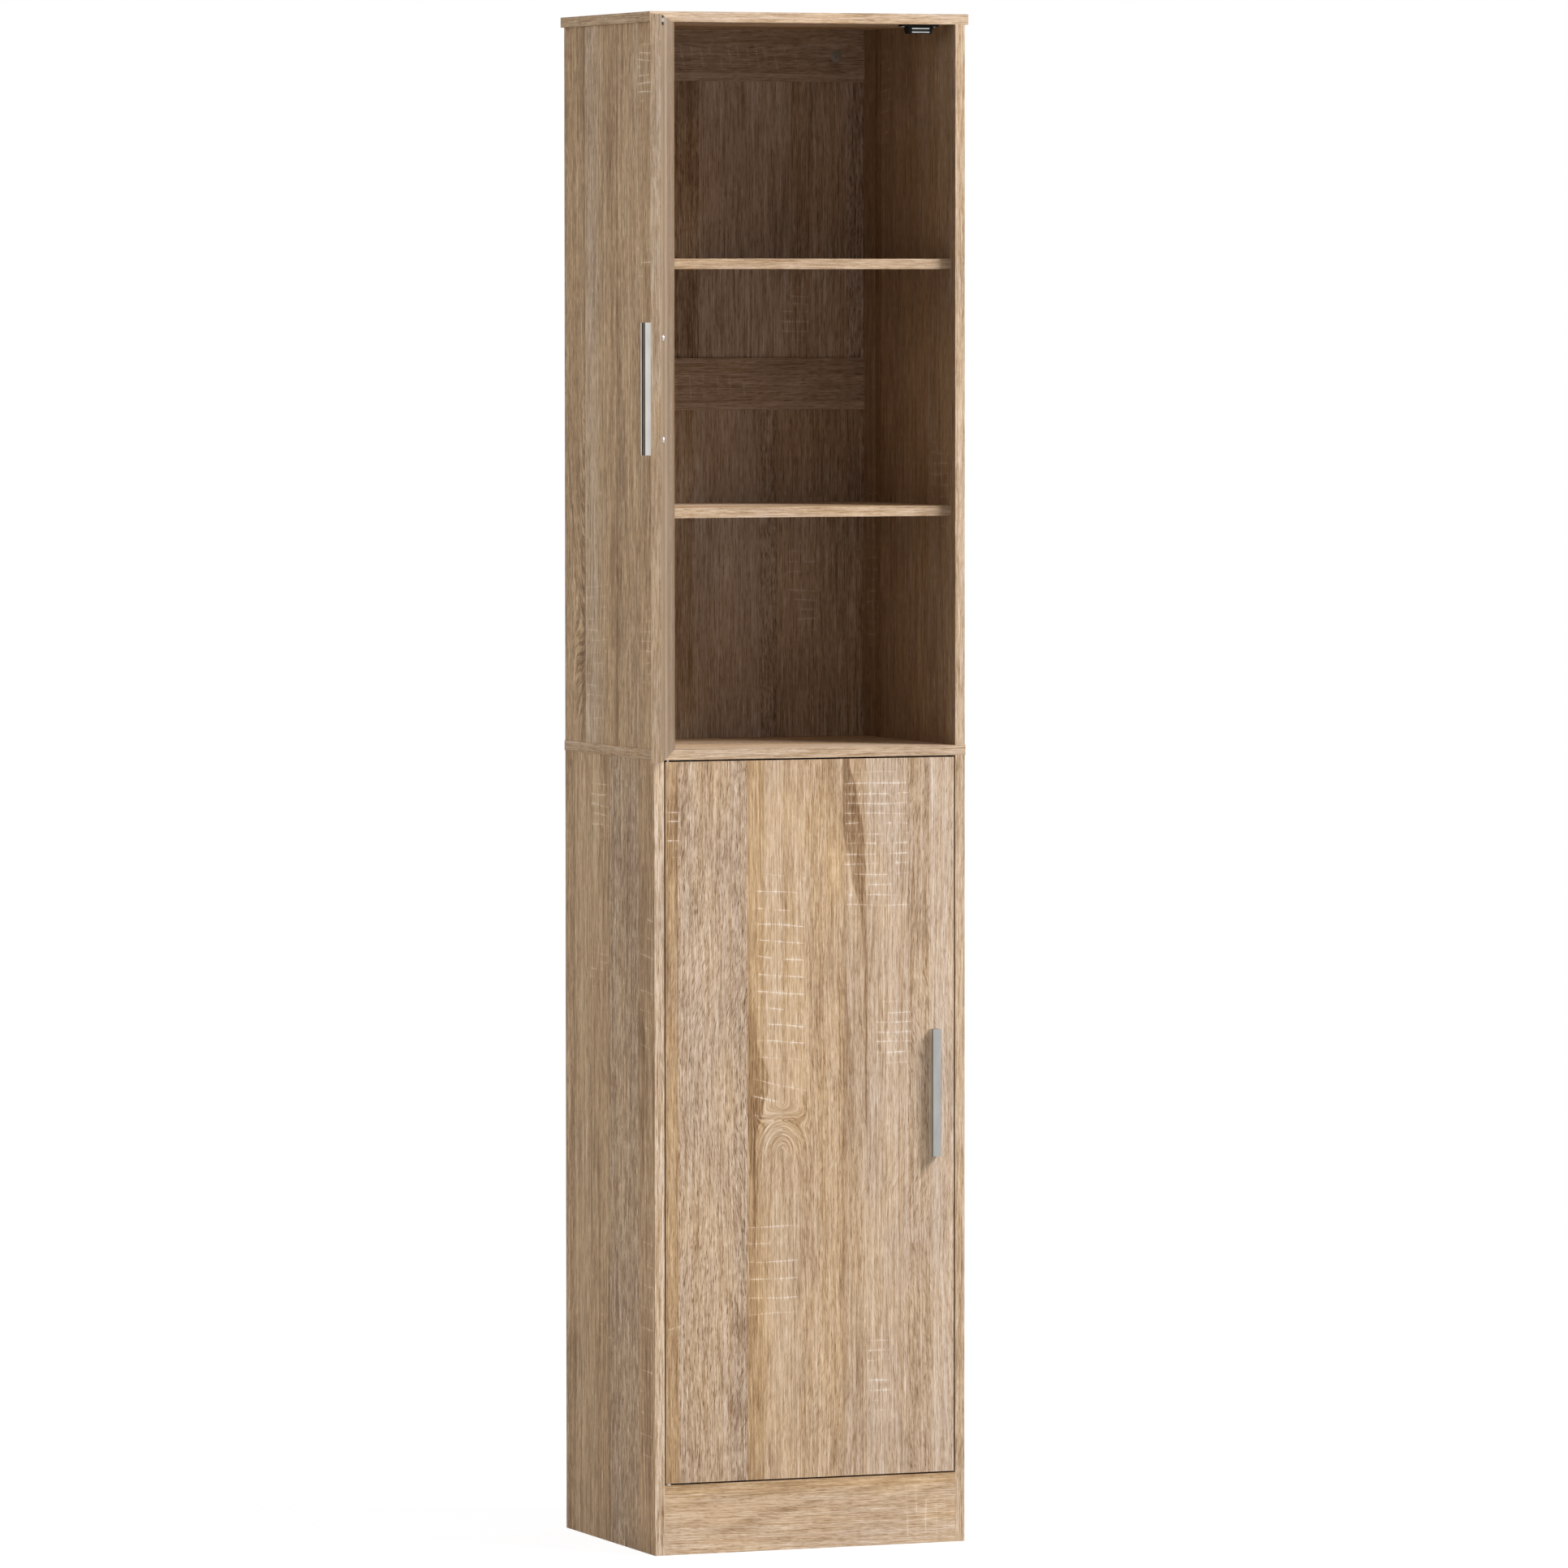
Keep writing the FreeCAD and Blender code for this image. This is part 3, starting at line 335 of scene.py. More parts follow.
def band(nodes, u, v, points):
    """How dark a wandering band is here; points are (height, middle, half width, amount).

    Half widths are so small that they go through the ramp ten times too large.
    """
    low, high = points[0][0], points[-1][0]
    stops = [((height - low) / (high - low), (middle, half * HALF_TIMES, amount))
             for height, middle, half, amount in points]
    middle, half, amount = three_numbers((u - low) / (high - low), stops, "EASE")
    edge = (v - middle).abs() - half * (1 / HALF_TIMES)
    return edge.ease(SOFT_EDGE, -SOFT_EDGE) * amount


def arch(nodes, u, v, top_u, top_v, size, spacing, strength, stretch, v_low, v_high):
    """How far the grain bends round a knot, its rings, and how near the knot is.

    A small stretch draws the rings out along the grain, and a negative one closes them towards
    the board's lower end.
    """
    wobble = noise(nodes, v * 34, u * 34, top_u, 2.0) - 0.5
    rise = (u - top_u) * stretch
    up = rise.math("MAXIMUM", rise, 0.0)
    side = v - top_v + wobble * 0.004 * abs(stretch)
    reach = (side * side + up * up).power(0.5) + wobble * 0.005 * abs(stretch)
    near = reach.ease(size, size * 0.6) * rise.ease(-size * 1.6, 0.0) * window(v, v_low, v_high, 0.0004)
    rings_shown_and_steel_stripe = noise(nodes, v * 210, u * 150, top_u + 3, 2.0).ease(0.36, 0.62)
    rings = (reach * (2 * math.pi / spacing)).sin() * near * rings_shown_and_steel_stripe * strength
    which_side = (side > 0.0) * 2.0 - 1.0
    return which_side * near * (reach - side.abs()), rings, near

# %% [markdown]
# ## The foil: fibres and pores
# Long soft streaks and fine fibres run along the grain, and short dark pores lean a little. Growth
# lines and stains are slower and follow the plank. Noises count in cells per metre: at 900 across, a
# fibre is about a millimetre wide, and a small count along the grain keeps it long.

# %% Fibres and pores
def fine_print(nodes, flow, here, on_face, pores, face, shift):
    """The fine pattern round 0, the pores from 0 to 1, and three of its parts, each round 0.

    flow is the distance across the grain once bends are in it. The place here goes round onto the
    tapes of the board's ends, and the place on_face doesn't.
    """
    u, _, w = here
    u0, v0, _ = on_face
    streaks = noise(nodes, flow * 170, u * 2.0, w * 170 + shift, 4.0, 0.65) - 0.5
    fibres = noise(nodes, flow * 900, u * 17, w * 900 + shift, 2.0, 0.65) - 0.5
    threads = noise(nodes, flow * 2100, u * 62, w * 2100, 2.0, 0.7) - 0.5
    clouds = noise(nodes, v0 * 24, u0 * 6, w * 24 + shift, 3.0, 0.6) - 0.5
    mottle = noise(nodes, flow * 330, u * 62, w * 330 + shift, 2.0, 0.75) - 0.5
    heart = noise(nodes, v0 * 6 + shift, u0 * 0.7, shift + 3, 1.0)
    growth = ((heart * 170).sin() * 0.5 + 0.5).power(3.0)
    growth = growth * noise(nodes, v0 * 11, u0 * 2.0, shift + 9, 1.0).ease(0.46, 0.64)
    lean = noise(nodes, u0 * 4.5, v0 * 4, shift + 4, 0.0) * 0.10
    pore = noise(nodes, (flow + lean) * 1250, u * 88, w * 1250 + shift, 1.0).ease(0.57, 0.70)
    stain = noise(nodes, v0 * 24 + shift, u0 * 2.4, shift + 1, 1.0).ease(0.60, 0.74) * face
    grain = streaks * 0.46 + fibres * 1.00 + threads * 0.90 + clouds * 0.22
    grain = grain + mottle * (pores * 0.62 + 0.16) - growth * 0.09 - stain * 0.07
    return grain, pore, streaks, fibres, clouds

# %% [markdown]
# ## The foil: from tone to colour
# A print mixes its inks on one scale from dark pore to pale fibre, so all the patterns add up in one
# number, the tone, and one ramp turns it into colour. A second number, the warmth, tints that
# between greyish and golden, as planks from different trees do.

# %% The foil's colours
OAK_TONES = [
    (0.00, (0.150, 0.080, 0.042)),
    (0.20, (0.250, 0.152, 0.086)),
    (0.38, (0.372, 0.253, 0.157)),
    (0.54, (0.500, 0.362, 0.246)),
    (0.72, (0.660, 0.503, 0.362)),
    (1.00, (0.840, 0.715, 0.580)),
]
GOLDEN = (1.06, 0.97, 0.79)
GREYISH = (0.99, 1.01, 1.09)


def foil_colour(nodes, tone, warmth):
    foil = tone.colour(OAK_TONES)
    return mix_colours(nodes, 1.0, foil, mix_colours(nodes, warmth, GREYISH, GOLDEN), "MULTIPLY")


print("tones from", OAK_TONES[0][1], "to", OAK_TONES[-1][1])

# %% [markdown]
# ## The foil: one board's material
# The strips give each face its base, and the bends, bands and saw marks come on top. The narrow
# edges of a board are covered by a strip of tape, plainer and paler than the faces. The faces
# inside the cabinet get painted shade, a darker and greyer tint on their foil, because the
# photograph's shade is deeper than soft light alone makes it.

# %% The oak foil
# The painted shade's tint, darker and greyer, that multiplies the foil of faces inside the cabinet.
INSIDE_PAINTED_SHADE = (0.60, 0.625, 0.68)


def oak(name, along, across, through, origin, width, strips, seed,
        contrast=1.0, inside=None, tape=0.65, warmer=0.0, ladders=(), bands=(), arches=()):
    """One board's piece of foil, with tape on its edges.

    inside is where its inner face with painted shade lies through the board (from, to) and how strong the painted
    shade is.
    """
    material, nodes = new_material(name)
    here, on_face, on_end, on_side = board_coordinates(nodes, along, across, through, origin)
    u, v, w = on_face
    on_tape = on_end + on_side
    shift = seed * 7.31
    face = 1 - on_tape

    tone, pores, warmth = three_numbers(
        v / width, [(max(0.0, strip[0] / width), strip[1:4]) for strip in strips], "CONSTANT")
    tone = tone * face + on_side * tape + on_end * (tape - 0.08)
    pores = pores * face + on_tape * 0.12
    warmth = warmth * face + on_side * 0.45 + on_end * 0.70

    wave = (noise(nodes, v * 9, u * 2.3, shift) - 0.5) * 0.016
    flow = here[1] + wave * (1 - on_end * 0.85)
    rings = 0.0
    for knot in arches:
        bend, ring, near = arch(nodes, u, v, *knot)
        flow = flow + bend
        rings = rings + ring + near * 0.03

    grain, pore, streaks, fibres, clouds = fine_print(nodes, flow, here, on_face, pores, face, shift)
    tone = tone + grain * contrast - pore * (pores * 0.42 + 0.06) - rings
    for points in bands:
        tone = tone - band(nodes, u, v, points) * face
    marks = 0.0
    for rungs in ladders:
        marks = marks + ladder(nodes, u, v, shift, *rungs) * face
    tone = tone + marks * 0.30
    warmth = warmth + warmer + clouds * 1.2 - (streaks + fibres) * 0.9 - marks * 0.5

    foil = foil_colour(nodes, tone, warmth)
    # Painted shade: the inner face's foil is multiplied by the darker, greyer tint.
    if inside:
        low, high, amount = inside
        painted_shade = window(w, low, high, 0.0002) * face * amount
        foil = mix_colours(nodes, painted_shade, foil, mix_colours(nodes, 1.0, foil, INSIDE_PAINTED_SHADE, "MULTIPLY"))
    relief = fibres * 0.6 - pore * pores * 0.8 + marks * 0.3
    finish_surface(nodes, foil, 0.58 - pore * 0.05 + fibres * 0.12,
                   normal=bump(nodes, relief, 0.08), **{"Specular IOR Level": 0.20})
    return material

# %% [markdown]
# ## The foil: the lower door
# The photograph shows the door best, so its strips, ladders, bands and knot stand where it has
# them. They were placed one by one, because what makes a print look real is that its marks differ in
# size and spacing. Lengths are metres from the door's lower left corner, and the order of each
# list's numbers is that of the function that draws it.

# %% The lower door's own foil
DOOR_STRIPS = [
    (0.000, 0.48, 0.30, 1.00), (0.0155, 0.585, 0.85, 0.35), (0.058, 0.595, 0.75, 0.40),
    (0.083, 0.555, 1.00, 0.22), (0.101, 0.50, 0.20, 1.10), (0.109, 0.47, 0.25, 1.15),
    (0.112, 0.55, 0.20, 0.95), (0.123, 0.61, 0.25, 0.65), (0.171, 0.58, 0.45, 0.70),
    (0.2225, 0.575, 0.35, 0.50), (0.252, 0.63, 0.30, 0.30), (0.304, 0.575, 0.60, 0.35),
    (0.331, 0.66, 0.35, 0.20),
]
DOOR_LADDERS = [
    (0.222, 0.308, 0.655, 0.840, 0.0119, 0.00, 1.1),
    (0.112, 0.176, 0.480, 0.720, 0.0195, 0.10, 1.3),
    (0.000, 0.019, 0.720, 0.805, 0.0110, 0.00, 1.9),
    (0.101, 0.168, 0.180, 0.325, 0.0205, 0.00, 1.0),
    (0.252, 0.284, 0.065, 0.175, 0.0117, 0.00, 1.2),
    (0.262, 0.311, 0.470, 0.570, 0.0120, 0.00, 0.9),
    (0.000, 0.022, 0.115, 0.215, 0.0190, -0.20, 0.8),
    (0.108, 0.180, 0.415, 0.482, 0.0200, 0.20, 1.9),
]
DOOR_BANDS = [
    [(0.30, 0.2535, 0.0004, 0.00), (0.46, 0.2520, 0.0014, 0.20), (0.60, 0.2520, 0.0020, 0.22),
     (0.66, 0.2490, 0.0036, 0.22), (0.71, 0.2420, 0.0090, 0.23), (0.76, 0.2360, 0.0125, 0.27),
     (0.80, 0.2315, 0.0090, 0.30), (0.844, 0.2265, 0.0042, 0.32)],
    [(0.33, 0.2290, 0.0060, 0.00), (0.40, 0.2300, 0.0070, 0.10), (0.50, 0.2290, 0.0065, 0.13),
     (0.58, 0.2245, 0.0022, 0.16), (0.64, 0.2230, 0.0006, 0.06)],
    [(0.25, 0.1120, 0.0010, 0.00), (0.34, 0.1110, 0.0022, 0.16), (0.40, 0.1075, 0.0045, 0.24),
     (0.435, 0.1120, 0.0100, 0.28), (0.465, 0.1160, 0.0140, 0.22), (0.52, 0.1080, 0.0060, 0.14),
     (0.60, 0.1040, 0.0020, 0.03)],
    [(0.59, 0.3100, 0.0020, 0.00), (0.64, 0.3150, 0.0150, 0.10), (0.70, 0.3150, 0.0120, 0.09),
     (0.75, 0.3150, 0.0040, 0.00)],
    [(0.68, 0.0090, 0.0060, 0.00), (0.73, 0.0090, 0.0068, 0.09), (0.79, 0.0090, 0.0070, 0.10),
     (0.83, 0.0090, 0.0060, 0.00)],
    [(0.02, 0.2430, 0.0030, 0.07), (0.12, 0.2440, 0.0045, 0.12), (0.22, 0.2440, 0.0040, 0.08),
     (0.30, 0.2460, 0.0010, 0.02)],
]
DOOR_KNOT = (0.385, 0.146, 0.046, 0.0043, 0.12, 0.80, -1.0, 1.0)
print(len(DOOR_STRIPS), "strips,", len(DOOR_LADDERS), "ladders and", len(DOOR_BANDS), "bands on the door")

# %% [markdown]
# ## The foil: the two left sides
# The left sides stand in half light, but their marks can still be told apart: a few wide strips with
# thin dark lines between them, and ladders near the front edge. The upper side has one run of
# flames near its back. Lengths are metres from the board's lower front corner.

# %% The left sides' own foil
LOWER_SIDE = {
    "strips": [
        (0.000, 0.475, 0.30, 1.35), (0.052, 0.50, 1.00, 0.65), (0.068, 0.48, 0.90, 0.60),
        (0.081, 0.495, 0.95, 0.65), (0.147, 0.39, 0.30, 1.25), (0.1505, 0.50, 0.35, 1.25),
        (0.190, 0.55, 0.25, 1.05), (0.266, 0.40, 0.35, 1.20), (0.270, 0.45, 0.45, 1.40)],
    "ladders": [
        (0.003, 0.050, 0.575, 0.775, 0.0215, -0.08, 1.0),
        (0.003, 0.050, 0.090, 0.385, 0.0250, -0.05, 0.9),
        (0.150, 0.212, 0.820, 0.915, 0.0120, -0.02, 1.7),
        (0.150, 0.216, 0.645, 0.715, 0.0100, 0.00, 0.8),
        (0.142, 0.188, 0.215, 0.295, 0.0130, 0.00, 0.8)],
    "bands": [
        [(0.36, 0.047, 0.002, 0.00), (0.47, 0.046, 0.005, 0.14), (0.52, 0.036, 0.014, 0.16),
         (0.54, 0.030, 0.020, 0.00), (0.565, 0.035, 0.016, 0.06), (0.60, 0.040, 0.012, 0.15),
         (0.64, 0.047, 0.004, 0.10), (0.68, 0.048, 0.001, 0.00)]],
}
UPPER_SIDE = {
    "strips": [
        (0.000, 0.47, 0.35, 1.15), (0.012, 0.43, 0.35, 1.20), (0.016, 0.49, 0.40, 1.10),
        (0.043, 0.545, 0.45, 0.95), (0.119, 0.41, 0.30, 1.15), (0.1225, 0.495, 0.35, 1.15),
        (0.160, 0.53, 0.30, 0.95), (0.183, 0.61, 0.45, 0.60), (0.228, 0.41, 0.40, 1.10),
        (0.2305, 0.50, 0.45, 1.25), (0.288, 0.43, 0.60, 1.15)],
    "ladders": [
        (0.000, 0.055, 0.740, 0.835, 0.0095, -0.02, 1.8),
        (0.000, 0.058, 0.535, 0.600, 0.0160, 0.00, 1.0),
        (0.000, 0.045, 0.065, 0.175, 0.0120, 0.00, 0.9),
        (0.155, 0.228, 0.005, 0.210, 0.0130, 0.05, 0.6)],
    "bands": [
        [(0.01, 0.232, 0.003, 0.00), (0.06, 0.234, 0.006, 0.12), (0.12, 0.240, 0.012, 0.14),
         (0.18, 0.240, 0.010, 0.08), (0.24, 0.236, 0.006, 0.10), (0.30, 0.234, 0.004, 0.02)]],
    "arches": [(0.42, 0.231, 0.066, 0.0058, 0.055, -0.15, 0.2300, 0.2870)],
}
for name, side in (("lower", LOWER_SIDE), ("upper", UPPER_SIDE)):
    print(name, "left side:", len(side["strips"]), "strips,", len(side["ladders"]), "ladders")

# %% [markdown]
# ## The foil: a piece for each board
# Uprights and doors have their grain standing, and everything level has it lying along the board.
# Each board's foil starts at its own lowest corner and is as wide as the board is, so both come from
# the frame. A board with no strips or ladders of its own gets made-up ones from its seed, so that no
# two boards are alike.

# %% A board's foil from its box
LEVEL_LENGTH = 0.36


def corner(node):
    """The node's lowest corner."""
    return Vector(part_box(node)[0])


def spread(node, axis):
    """How far the node reaches along an axis."""
    low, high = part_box(node)
    return (Vector(high) - Vector(low)).dot(axis)


def foil_for(node, seed, along, across, through, origin=None, width=None, length=LEVEL_LENGTH, **own):
    """The oak foil for one board; length is how far up its made-up ladders may reach."""
    origin = corner(node) if origin is None else origin
    width = spread(node, across) if width is None else width
    strips = own.pop("strips", None) or plank_strips(seed, width, own.get("contrast", 1.0))
    ladders = own.pop("ladders", None) or made_up_ladders(seed, strips, length)
    return oak("oak_" + node, along, across, through, origin, width, strips, seed, ladders=ladders, **own)


print("the side boards are", round(spread("lower_left_side", Y) * 1000), "mm deep")

# %% [markdown]
# ## The doors' foil
# The upper door stands open, so its width can't be read from its box. It is as wide as the lower
# door, and its foil starts at its hinge edge, which lies a little outside the pivot.

# %% Doors
PIVOT_FROM_EDGE = 0.004
PIVOT_FROM_FACE = 0.0035
BEHIND_FACE = (0.011, 0.013)

materials = {}
DOOR_WIDTH = spread("lower_door_panel", X)
DOOR_HEIGHT = spread("lower_door_panel", Z)
hinge_corner = (PIVOT - OPEN_X * PIVOT_FROM_EDGE - OPEN_Y * PIVOT_FROM_FACE
                + Z * corner("upper_door_panel").z)
materials["lower_door_panel"] = foil_for(
    "lower_door_panel", 11, Z, X, Y, length=DOOR_HEIGHT,
    strips=DOOR_STRIPS, ladders=DOOR_LADDERS, bands=DOOR_BANDS, arches=[DOOR_KNOT])
# The upper door's inner face gets the full painted shade.
materials["upper_door_panel"] = foil_for(
    "upper_door_panel", 12, Z, OPEN_X, OPEN_Y, origin=hinge_corner, width=DOOR_WIDTH, length=DOOR_HEIGHT,
    inside=(*BEHIND_FACE, 1.0), tape=0.62)
print("doors are", round(DOOR_WIDTH * 1000, 1), "x", round(DOOR_HEIGHT * 1000, 1), "mm")

# %% [markdown]
# ## The sides' foil
# A side's outer face looks out at the room and its inner face is in the cabinet's own shade, which
# its foil deepens with painted shade. For the left sides the inner face is the one at the far end of
# their thickness, for the right sides it is at the near end.

# %% Sides
NEAR_FACE = (-0.001, 0.001)
RIGHT_LADDERS = [
    (0.198, 0.236, 0.690, 0.830, 0.0120, 0.10, 1.0),
    (0.020, 0.075, 0.240, 0.370, 0.0125, 0.00, 0.9),
    (0.242, 0.280, 0.090, 0.330, 0.0130, 0.05, 0.9),
]
LEFT_SIDES = {"lower_left_side": LOWER_SIDE, "upper_left_side": UPPER_SIDE}
# The left sides' inner faces get half the painted shade, the right sides' nearly all of it.
for seed, (node, own) in enumerate(LEFT_SIDES.items(), start=21):
    materials[node] = foil_for(node, seed, Z, Y, X, contrast=1.6, inside=(*BEHIND_FACE, 0.5), **own)
for seed, node in enumerate(("lower_right_side", "upper_right_side"), start=31):
    materials[node] = foil_for(node, seed, Z, Y, X, contrast=1.2, tape=0.62,
                               inside=(*NEAR_FACE, 0.9), ladders=RIGHT_LADDERS)
print(len(materials), "doors and sides have their foil")

# %% [markdown]
# ## The back's foil
# The thin back panels stand in the sides' grooves with their grain upright, and the rails between
# them have it lying level. Both are a little greyer than the sides, a painted cool tint for the light
# inside the cabinet, and their front faces get some painted shade.

# %% Back panels and rails
BACK_LADDERS = {"upper_back_panel_high": [(0.262, 0.302, 0.010, 0.100, 0.0105, 0.0, 1.0)],
                "upper_back_panel_low": [(0.270, 0.312, 0.110, 0.240, 0.0115, 0.0, 1.0)]}
RAIL_STRIPS = [(0.0, 0.60, 0.30, 0.30), (0.0095, 0.52, 0.50, 0.45), (0.045, 0.50, 0.35, 0.60)]
# warmer below 0 greys the foil as a painted cool tint, and inside puts painted shade on the front face.
for seed, node in enumerate(("upper_back_panel_high", "upper_back_panel_low",
                             "lower_back_panel_high", "lower_back_panel_low"), start=41):
    materials[node] = foil_for(node, seed, Z, X, Y, length=spread(node, Z), contrast=1.35, warmer=-0.4,
                               inside=(*NEAR_FACE, 0.35), ladders=BACK_LADDERS.get(node))
for seed, node in enumerate(("top_back_rail", "upper_back_rail", "lower_back_rail"), start=51):
    materials[node] = foil_for(node, seed, X, Z, Y, contrast=1.0, warmer=-0.5,
                               inside=(*NEAR_FACE, 0.2), strips=RAIL_STRIPS)
print(len(materials), "boards have their foil")

# %% [markdown]
# ## The level boards' foil
# What shows of a shelf is mostly its front tape, so each one's tape gets its own tone: the high
# upper shelf's is darker than the rest, and the middle board's a little darker. The plinth shows its face.

# %% Plinth, shelves, top, middle and bottom
PLINTH_STRIPS = [(0.0, 0.66, 0.35, 0.50), (0.030, 0.63, 0.30, 0.60), (0.071, 0.53, 0.25, 1.05)]
PLINTH_LADDERS = [(0.006, 0.070, 0.285, 0.366, 0.0120, 0.0, 0.7)]
TAPE_TONES = {"upper_shelf_high": 0.56, "middle_board": 0.61}
USUAL_TAPE = 0.64
materials["plinth"] = foil_for("plinth", 55, X, Z, Y, strips=PLINTH_STRIPS, ladders=PLINTH_LADDERS)
for seed, node in enumerate(("top_board", "middle_board", "bottom_board", "upper_shelf_high",
                             "upper_shelf_low", "lower_shelf_high", "lower_shelf_low"), start=61):
    materials[node] = foil_for(node, seed, X, Y, Z, tape=TAPE_TONES.get(node, USUAL_TAPE))
print(len(materials), "boards have their foil")

# %% [markdown]
# ## The handles' aluminium
# The bars are drawn through a die, which leaves very fine lines along them. Their front was brushed
# and anodised to a satin grey, the flanks get a painted highlight, a brighter copy of the same metal,
# and the finger grooves get painted shade and a painted brownish reflection of the wood next to them.
# Where a point is on the bar comes from its distance behind the front and from the way its face
# looks, so one material does all three.

# %% Drawn aluminium
def drawn_aluminium(name, across, through, front):
    """Brushed on its front, a painted highlight on its flanks, painted shade and wood reflection in the grooves.
    """
    material, nodes = new_material(name)
    place = nodes.add("ShaderNodeTexCoord", out="Object")
    facing = nodes.add("ShaderNodeTexCoord", out="Normal")
    line = noise(nodes, place.dot(X) * 4200, place.dot(Y) * 4200, place.dot(Z) * 18, 2.0)
    cloud = noise(nodes, place.dot(X) * 90, place.dot(Y) * 90, place.dot(Z) * 40, 2.0)
    groove = window(place.dot(through) - front, 0.0006, 0.0050, 0.0003)
    on_flank = facing.dot(across).abs() > 0.7
    shade = line * 0.5 + cloud * 0.5
    brushed = shade.colour([(0.3, (0.33, 0.33, 0.318)), (0.7, (0.42, 0.42, 0.407))])
    flank_painted_highlight = shade.colour([(0.3, (0.68, 0.67, 0.645)), (0.7, (0.82, 0.81, 0.785))])
    groove_painted_shade_and_reflection = shade.colour([(0.3, (0.105, 0.092, 0.074)), (0.7, (0.160, 0.142, 0.118))])
    # Painted light: the flanks take a brighter copy of the metal as a painted highlight, the grooves a dark
    # brownish one as painted shade and reflection of the wood.
    skin = mix_colours(nodes, groove, mix_colours(nodes, on_flank, brushed, flank_painted_highlight), groove_painted_shade_and_reflection)
    finish_surface(nodes, skin, 0.36 + line * 0.10, metallic=0.85, normal=bump(nodes, line, 0.004))
    return material


PROJECTION = spread("lower_door_handle", Y)
DOOR_FRONT = PIVOT.dot(OPEN_Y) - PIVOT_FROM_FACE
materials["lower_door_handle"] = drawn_aluminium("satin_aluminium_lower", X, Y, -PROJECTION)
materials["upper_door_handle"] = drawn_aluminium(
    "satin_aluminium_upper", OPEN_X, OPEN_Y, DOOR_FRONT - PROJECTION)
print("the handles stand out", round(PROJECTION * 1000, 1), "mm")

# %% [markdown]
# ## Plated steel, zinc and plastics
# Small parts have a cloudy surface with a very fine skin, whatever they are made of: plating grows in
# crystals, cast zinc is grey from its mould, and a black plastic's mould was etched to a fine grain.
# So one function makes them all, and only its shades, roughness and size of grain differ.

# %% Cloudy metals and plastics
def plated(name, dark, light, roughness, metallic=0.9, cell=900, height=0.01, gloss=0.5):
    """Cloudy metal or plastic: two shades and a fine skin."""
    material, nodes = new_material(name)
    place = nodes.add("ShaderNodeTexCoord", out="Object")
    skin = noise(nodes, place.dot(X) * cell, place.dot(Y) * cell, place.dot(Z) * cell, 3.0, 0.6)
    cloud = noise(nodes, place.dot(X) * 110, place.dot(Y) * 110, place.dot(Z) * 110, 2.0)
    shade = (skin * 0.5 + cloud * 0.5).colour([(0.30, dark), (0.70, light)])
    finish_surface(nodes, shade, roughness + skin * 0.12, metallic=metallic,
                   normal=bump(nodes, skin, height), **{"Specular IOR Level": gloss})
    return material


SLOT_FINISH = {
    "zinc_plated_steel": plated("zinc_plate", (0.52, 0.52, 0.51), (0.72, 0.72, 0.70), 0.26),
    "zinc": plated("cast_zinc", (0.30, 0.30, 0.30), (0.46, 0.46, 0.46), 0.45),
    "black_plastic": plated("black_plastic", (0.006, 0.006, 0.006), (0.014, 0.014, 0.014), 0.55,
                            metallic=0.0, cell=1400, gloss=0.15),
    "magnet": plated("ferrite", (0.02, 0.02, 0.022), (0.06, 0.06, 0.062), 0.6,
                     metallic=0.2, cell=700, height=0.02),
    "nylon": plated("nylon", (0.66, 0.64, 0.58), (0.78, 0.76, 0.70), 0.5, metallic=0.0, cell=500),
}
materials["wall_screws"] = plated("dull_zinc", (0.30, 0.28, 0.25), (0.42, 0.395, 0.355), 0.60,
                                  metallic=0.1, gloss=0.3)
print(len(SLOT_FINISH) + 1, "metals and plastics")

# %% [markdown]
# ## Strikers with painted shadow and beech dowels
# A striker is the steel plate on a door that the cabinet's magnet grips. It is bright steel along its
# middle and black towards both ends, a painted shadow, so its colour depends on the distance from
# its middle. The dowels are beech, with their fibres along X, which is how most of them lie.

# %% Strikers and dowels
BRIGHT_HALF = 0.0025


def striker_with_painted_shadow(name, middle):
    """Bright steel along the plate's middle, and black painted shadow towards its ends."""
    material, nodes = new_material(name)
    place = nodes.add("ShaderNodeTexCoord", out="Object")
    skin = noise(nodes, place.dot(X) * 900, place.dot(Y) * 900, place.dot(Z) * 900, 3.0, 0.6)
    distance = (place.dot(Z) - middle).abs() + skin * 0.0006
    rings_shown_and_steel_stripe = distance.ease(BRIGHT_HALF + 0.0002, BRIGHT_HALF - 0.0002)
    # Painted shadow: away from the middle stripe the plate is near black.
    painted_shadow = skin.colour([(0.3, (0.012, 0.012, 0.012)), (0.7, (0.030, 0.030, 0.030))])
    steel = skin.colour([(0.3, (0.66, 0.66, 0.65)), (0.7, (0.82, 0.82, 0.80))])
    finish_surface(nodes, mix_colours(nodes, rings_shown_and_steel_stripe, painted_shadow, steel), 0.45 - rings_shown_and_steel_stripe * 0.15,
                   metallic=rings_shown_and_steel_stripe * 0.9, normal=bump(nodes, skin, 0.01))
    return material


def beech(name):
    """Pale fibres along X."""
    material, nodes = new_material(name)
    place = nodes.add("ShaderNodeTexCoord", out="Object")
    fibre = noise(nodes, place.dot(X) * 60, place.dot(Y) * 1400, place.dot(Z) * 1400, 2.0)
    shade = fibre.colour([(0.3, (0.50, 0.36, 0.22)), (0.7, (0.66, 0.51, 0.34))])
    finish_surface(nodes, shade, 0.7, normal=bump(nodes, fibre, 0.05))
    return material


for striker in ("upper_door_striker", "lower_door_striker"):
    low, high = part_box(striker)
    materials[striker] = striker_with_painted_shadow("lacquer_" + striker, (low[2] + high[2]) / 2)
SLOT_FINISH["beech_dowel"] = beech("beech")
print("strikers and dowels are done")

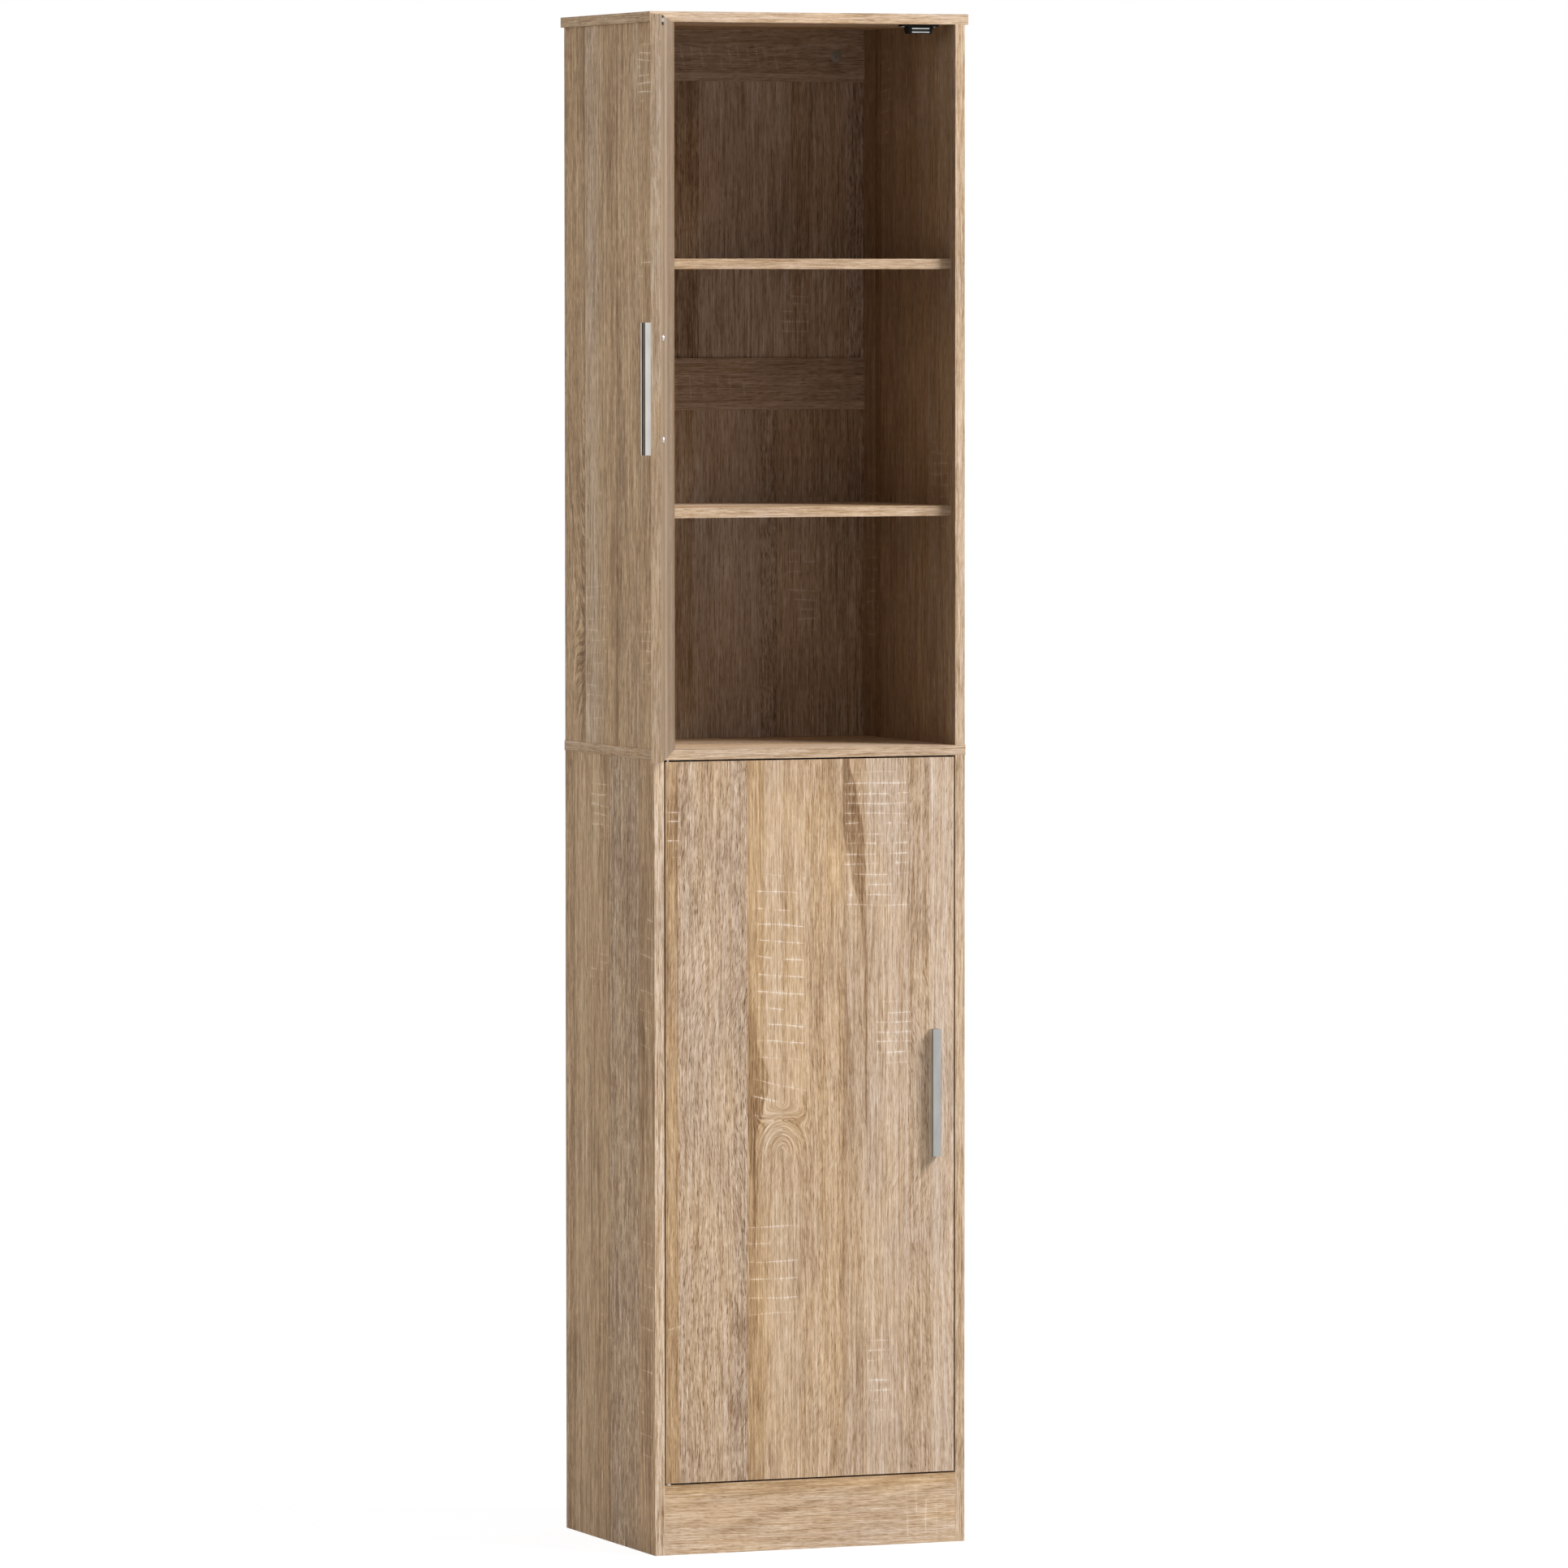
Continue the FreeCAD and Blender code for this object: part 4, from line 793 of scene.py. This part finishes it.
# %% [markdown]
# ## Putting the finishes on
# A board, handle, striker or wall screw has a material of its own. Every other piece takes the finish
# of the slot that the record gives it, so that all screws, say, are plated alike.

# %% Every piece gets its finish
slot_of = {part["node"]: part["material_slot"] for part in frame["record"]["subparts"]}
for node, piece in frame["nodes"].items():
    piece.data.materials.clear()
    piece.data.materials.append(materials.get(node) or SLOT_FINISH[slot_of[node]])
print(len(materials), "pieces have their own finish,", len(frame["nodes"]) - len(materials), "a shared one")

# %% [markdown]
# ## Eased edges
# No board has a knife edge: the foil turns over a radius of about half a millimetre, and that small
# round is what catches the light and draws each board's outline. A bevel modifier makes it without
# touching the CAD mesh. How wide it is goes by the first word of the finish's name, and the finishes
# that aren't listed keep their edges, as small turned and stamped parts do.

# %% Ease the edges
EASE = {"oak": 0.00045, "satin": 0.00035, "black": 0.0002}
eased = 0
for piece in frame["nodes"].values():
    radius = EASE.get(piece.data.materials[0].name.split("_")[0])
    if radius:
        ease = piece.modifiers.new("eased", "BEVEL")
        ease.width = radius
        ease.segments = 2
        ease.limit_method = "ANGLE"
        ease.angle_limit = math.radians(40)
        eased += 1
print(eased, "pieces have eased edges")

# %% [markdown]
# ## The floor
# The photograph is a cut-out on white with next to no shadow. The floor is a pale plane that keeps a
# soft one: to the camera it is mostly its own white light with a little diffuse, so the shadow shows
# but stays gentle, and to everything else it is plain pale paint, which lights the cabinet from
# below as a real floor would.

# %% Floor
def light_path(nodes, *names):
    """1 for a ray of any of the kinds named."""
    paths = nodes.add("ShaderNodeLightPath").socket.node
    seen = Wire(nodes.tree, paths.outputs[names[0]])
    for name in names[1:]:
        seen = seen.math("MAXIMUM", seen, Wire(nodes.tree, paths.outputs[name]))
    return seen


def pale_floor():
    material, nodes = new_material("pale_floor")
    seen = light_path(nodes, "Is Camera Ray", "Is Glossy Ray")
    place = nodes.add("ShaderNodeTexCoord", out="Object")
    speckle = noise(nodes, place.dot(X) * 300, place.dot(Y) * 300, 0.0, 2.0)
    paint = speckle.colour([(0.0, (0.50, 0.50, 0.50)), (1.0, (0.56, 0.56, 0.56))])
    plain = nodes.add("ShaderNodeBsdfDiffuse", {}, {"Color": paint})
    dim = nodes.add("ShaderNodeBsdfDiffuse", {}, {"Color": (0.22, 0.22, 0.22, 1.0)})
    white = nodes.add("ShaderNodeEmission", {}, {"Color": (1, 1, 1, 1), "Strength": 0.90})
    shown = nodes.add("ShaderNodeAddShader", {}, {0: dim, 1: white})
    both = nodes.add("ShaderNodeMixShader", {}, {0: seen, 1: plain, 2: shown})
    nodes.add("ShaderNodeOutputMaterial", {}, {"Surface": both})
    return material


FLOOR_RADIUS = 4.0
FLOOR_BELOW = 0.0005
bpy.ops.mesh.primitive_circle_add(vertices=96, radius=FLOOR_RADIUS, fill_type="NGON",
                                  location=(0, 0.1, -FLOOR_BELOW))
floor = bpy.context.object
floor.name = "floor"
floor.data.materials.append(pale_floor())
print("the floor is", FLOOR_RADIUS * 2, "m across")

# %% [markdown]
# ## The background
# The camera sees plain white. As light, the same world is a weak one that grows brighter upwards, as
# a white room with a lit ceiling is, and leaves the insides of the compartments dark.

# %% World
world = bpy.data.worlds.new("white_room")
bpy.context.scene.world = world
world.use_nodes = True
world.node_tree.nodes.clear()
sky = Wire(world.node_tree)
seen = light_path(sky, "Is Camera Ray", "Is Glossy Ray", "Is Transmission Ray")
upward = sky.add("ShaderNodeTexCoord", out="Generated").dot((0, 0, 1))
level = upward.ease(-0.1, 1.0) * 0.36 + 0.11
shown = sky.add("ShaderNodeBackground", {}, {"Color": (1, 1, 1, 1), "Strength": 1.0})
soft = sky.add("ShaderNodeBackground", {}, {"Color": (1, 1, 1, 1), "Strength": level})
sky.add("ShaderNodeOutputWorld", {}, {
    "Surface": sky.add("ShaderNodeMixShader", {}, {0: seen, 1: soft, 2: shown})})
print("the world has", len(world.node_tree.nodes), "nodes")

# %% [markdown]
# ## The lamps
# One big soft box high on the right lights the doors and leaves the left side at half tone. A weaker
# one low on the left keeps that side's grain readable.

# %% Lamps
def lamp(name, place, target, size, watts):
    """A square soft box that looks at the target."""
    light = bpy.data.lights.new(name, "AREA")
    light.size = size
    light.energy = watts
    box = bpy.data.objects.new(name, light)
    bpy.context.scene.collection.objects.link(box)
    box.location = place
    box.rotation_euler = (Vector(target) - Vector(place)).to_track_quat("-Z", "Y").to_euler()


lamp("key", (3.72, -3.13, 5.27), (0, 0, 0.9), 2.6, 530)
lamp("left_fill", (-4.6, -1.6, 2.2), (0, 0.1, 0.9), 2.2, 62)
bpy.context.scene.view_settings.view_transform = "Standard"
print("lamps:", [lit.name for lit in bpy.data.lights])
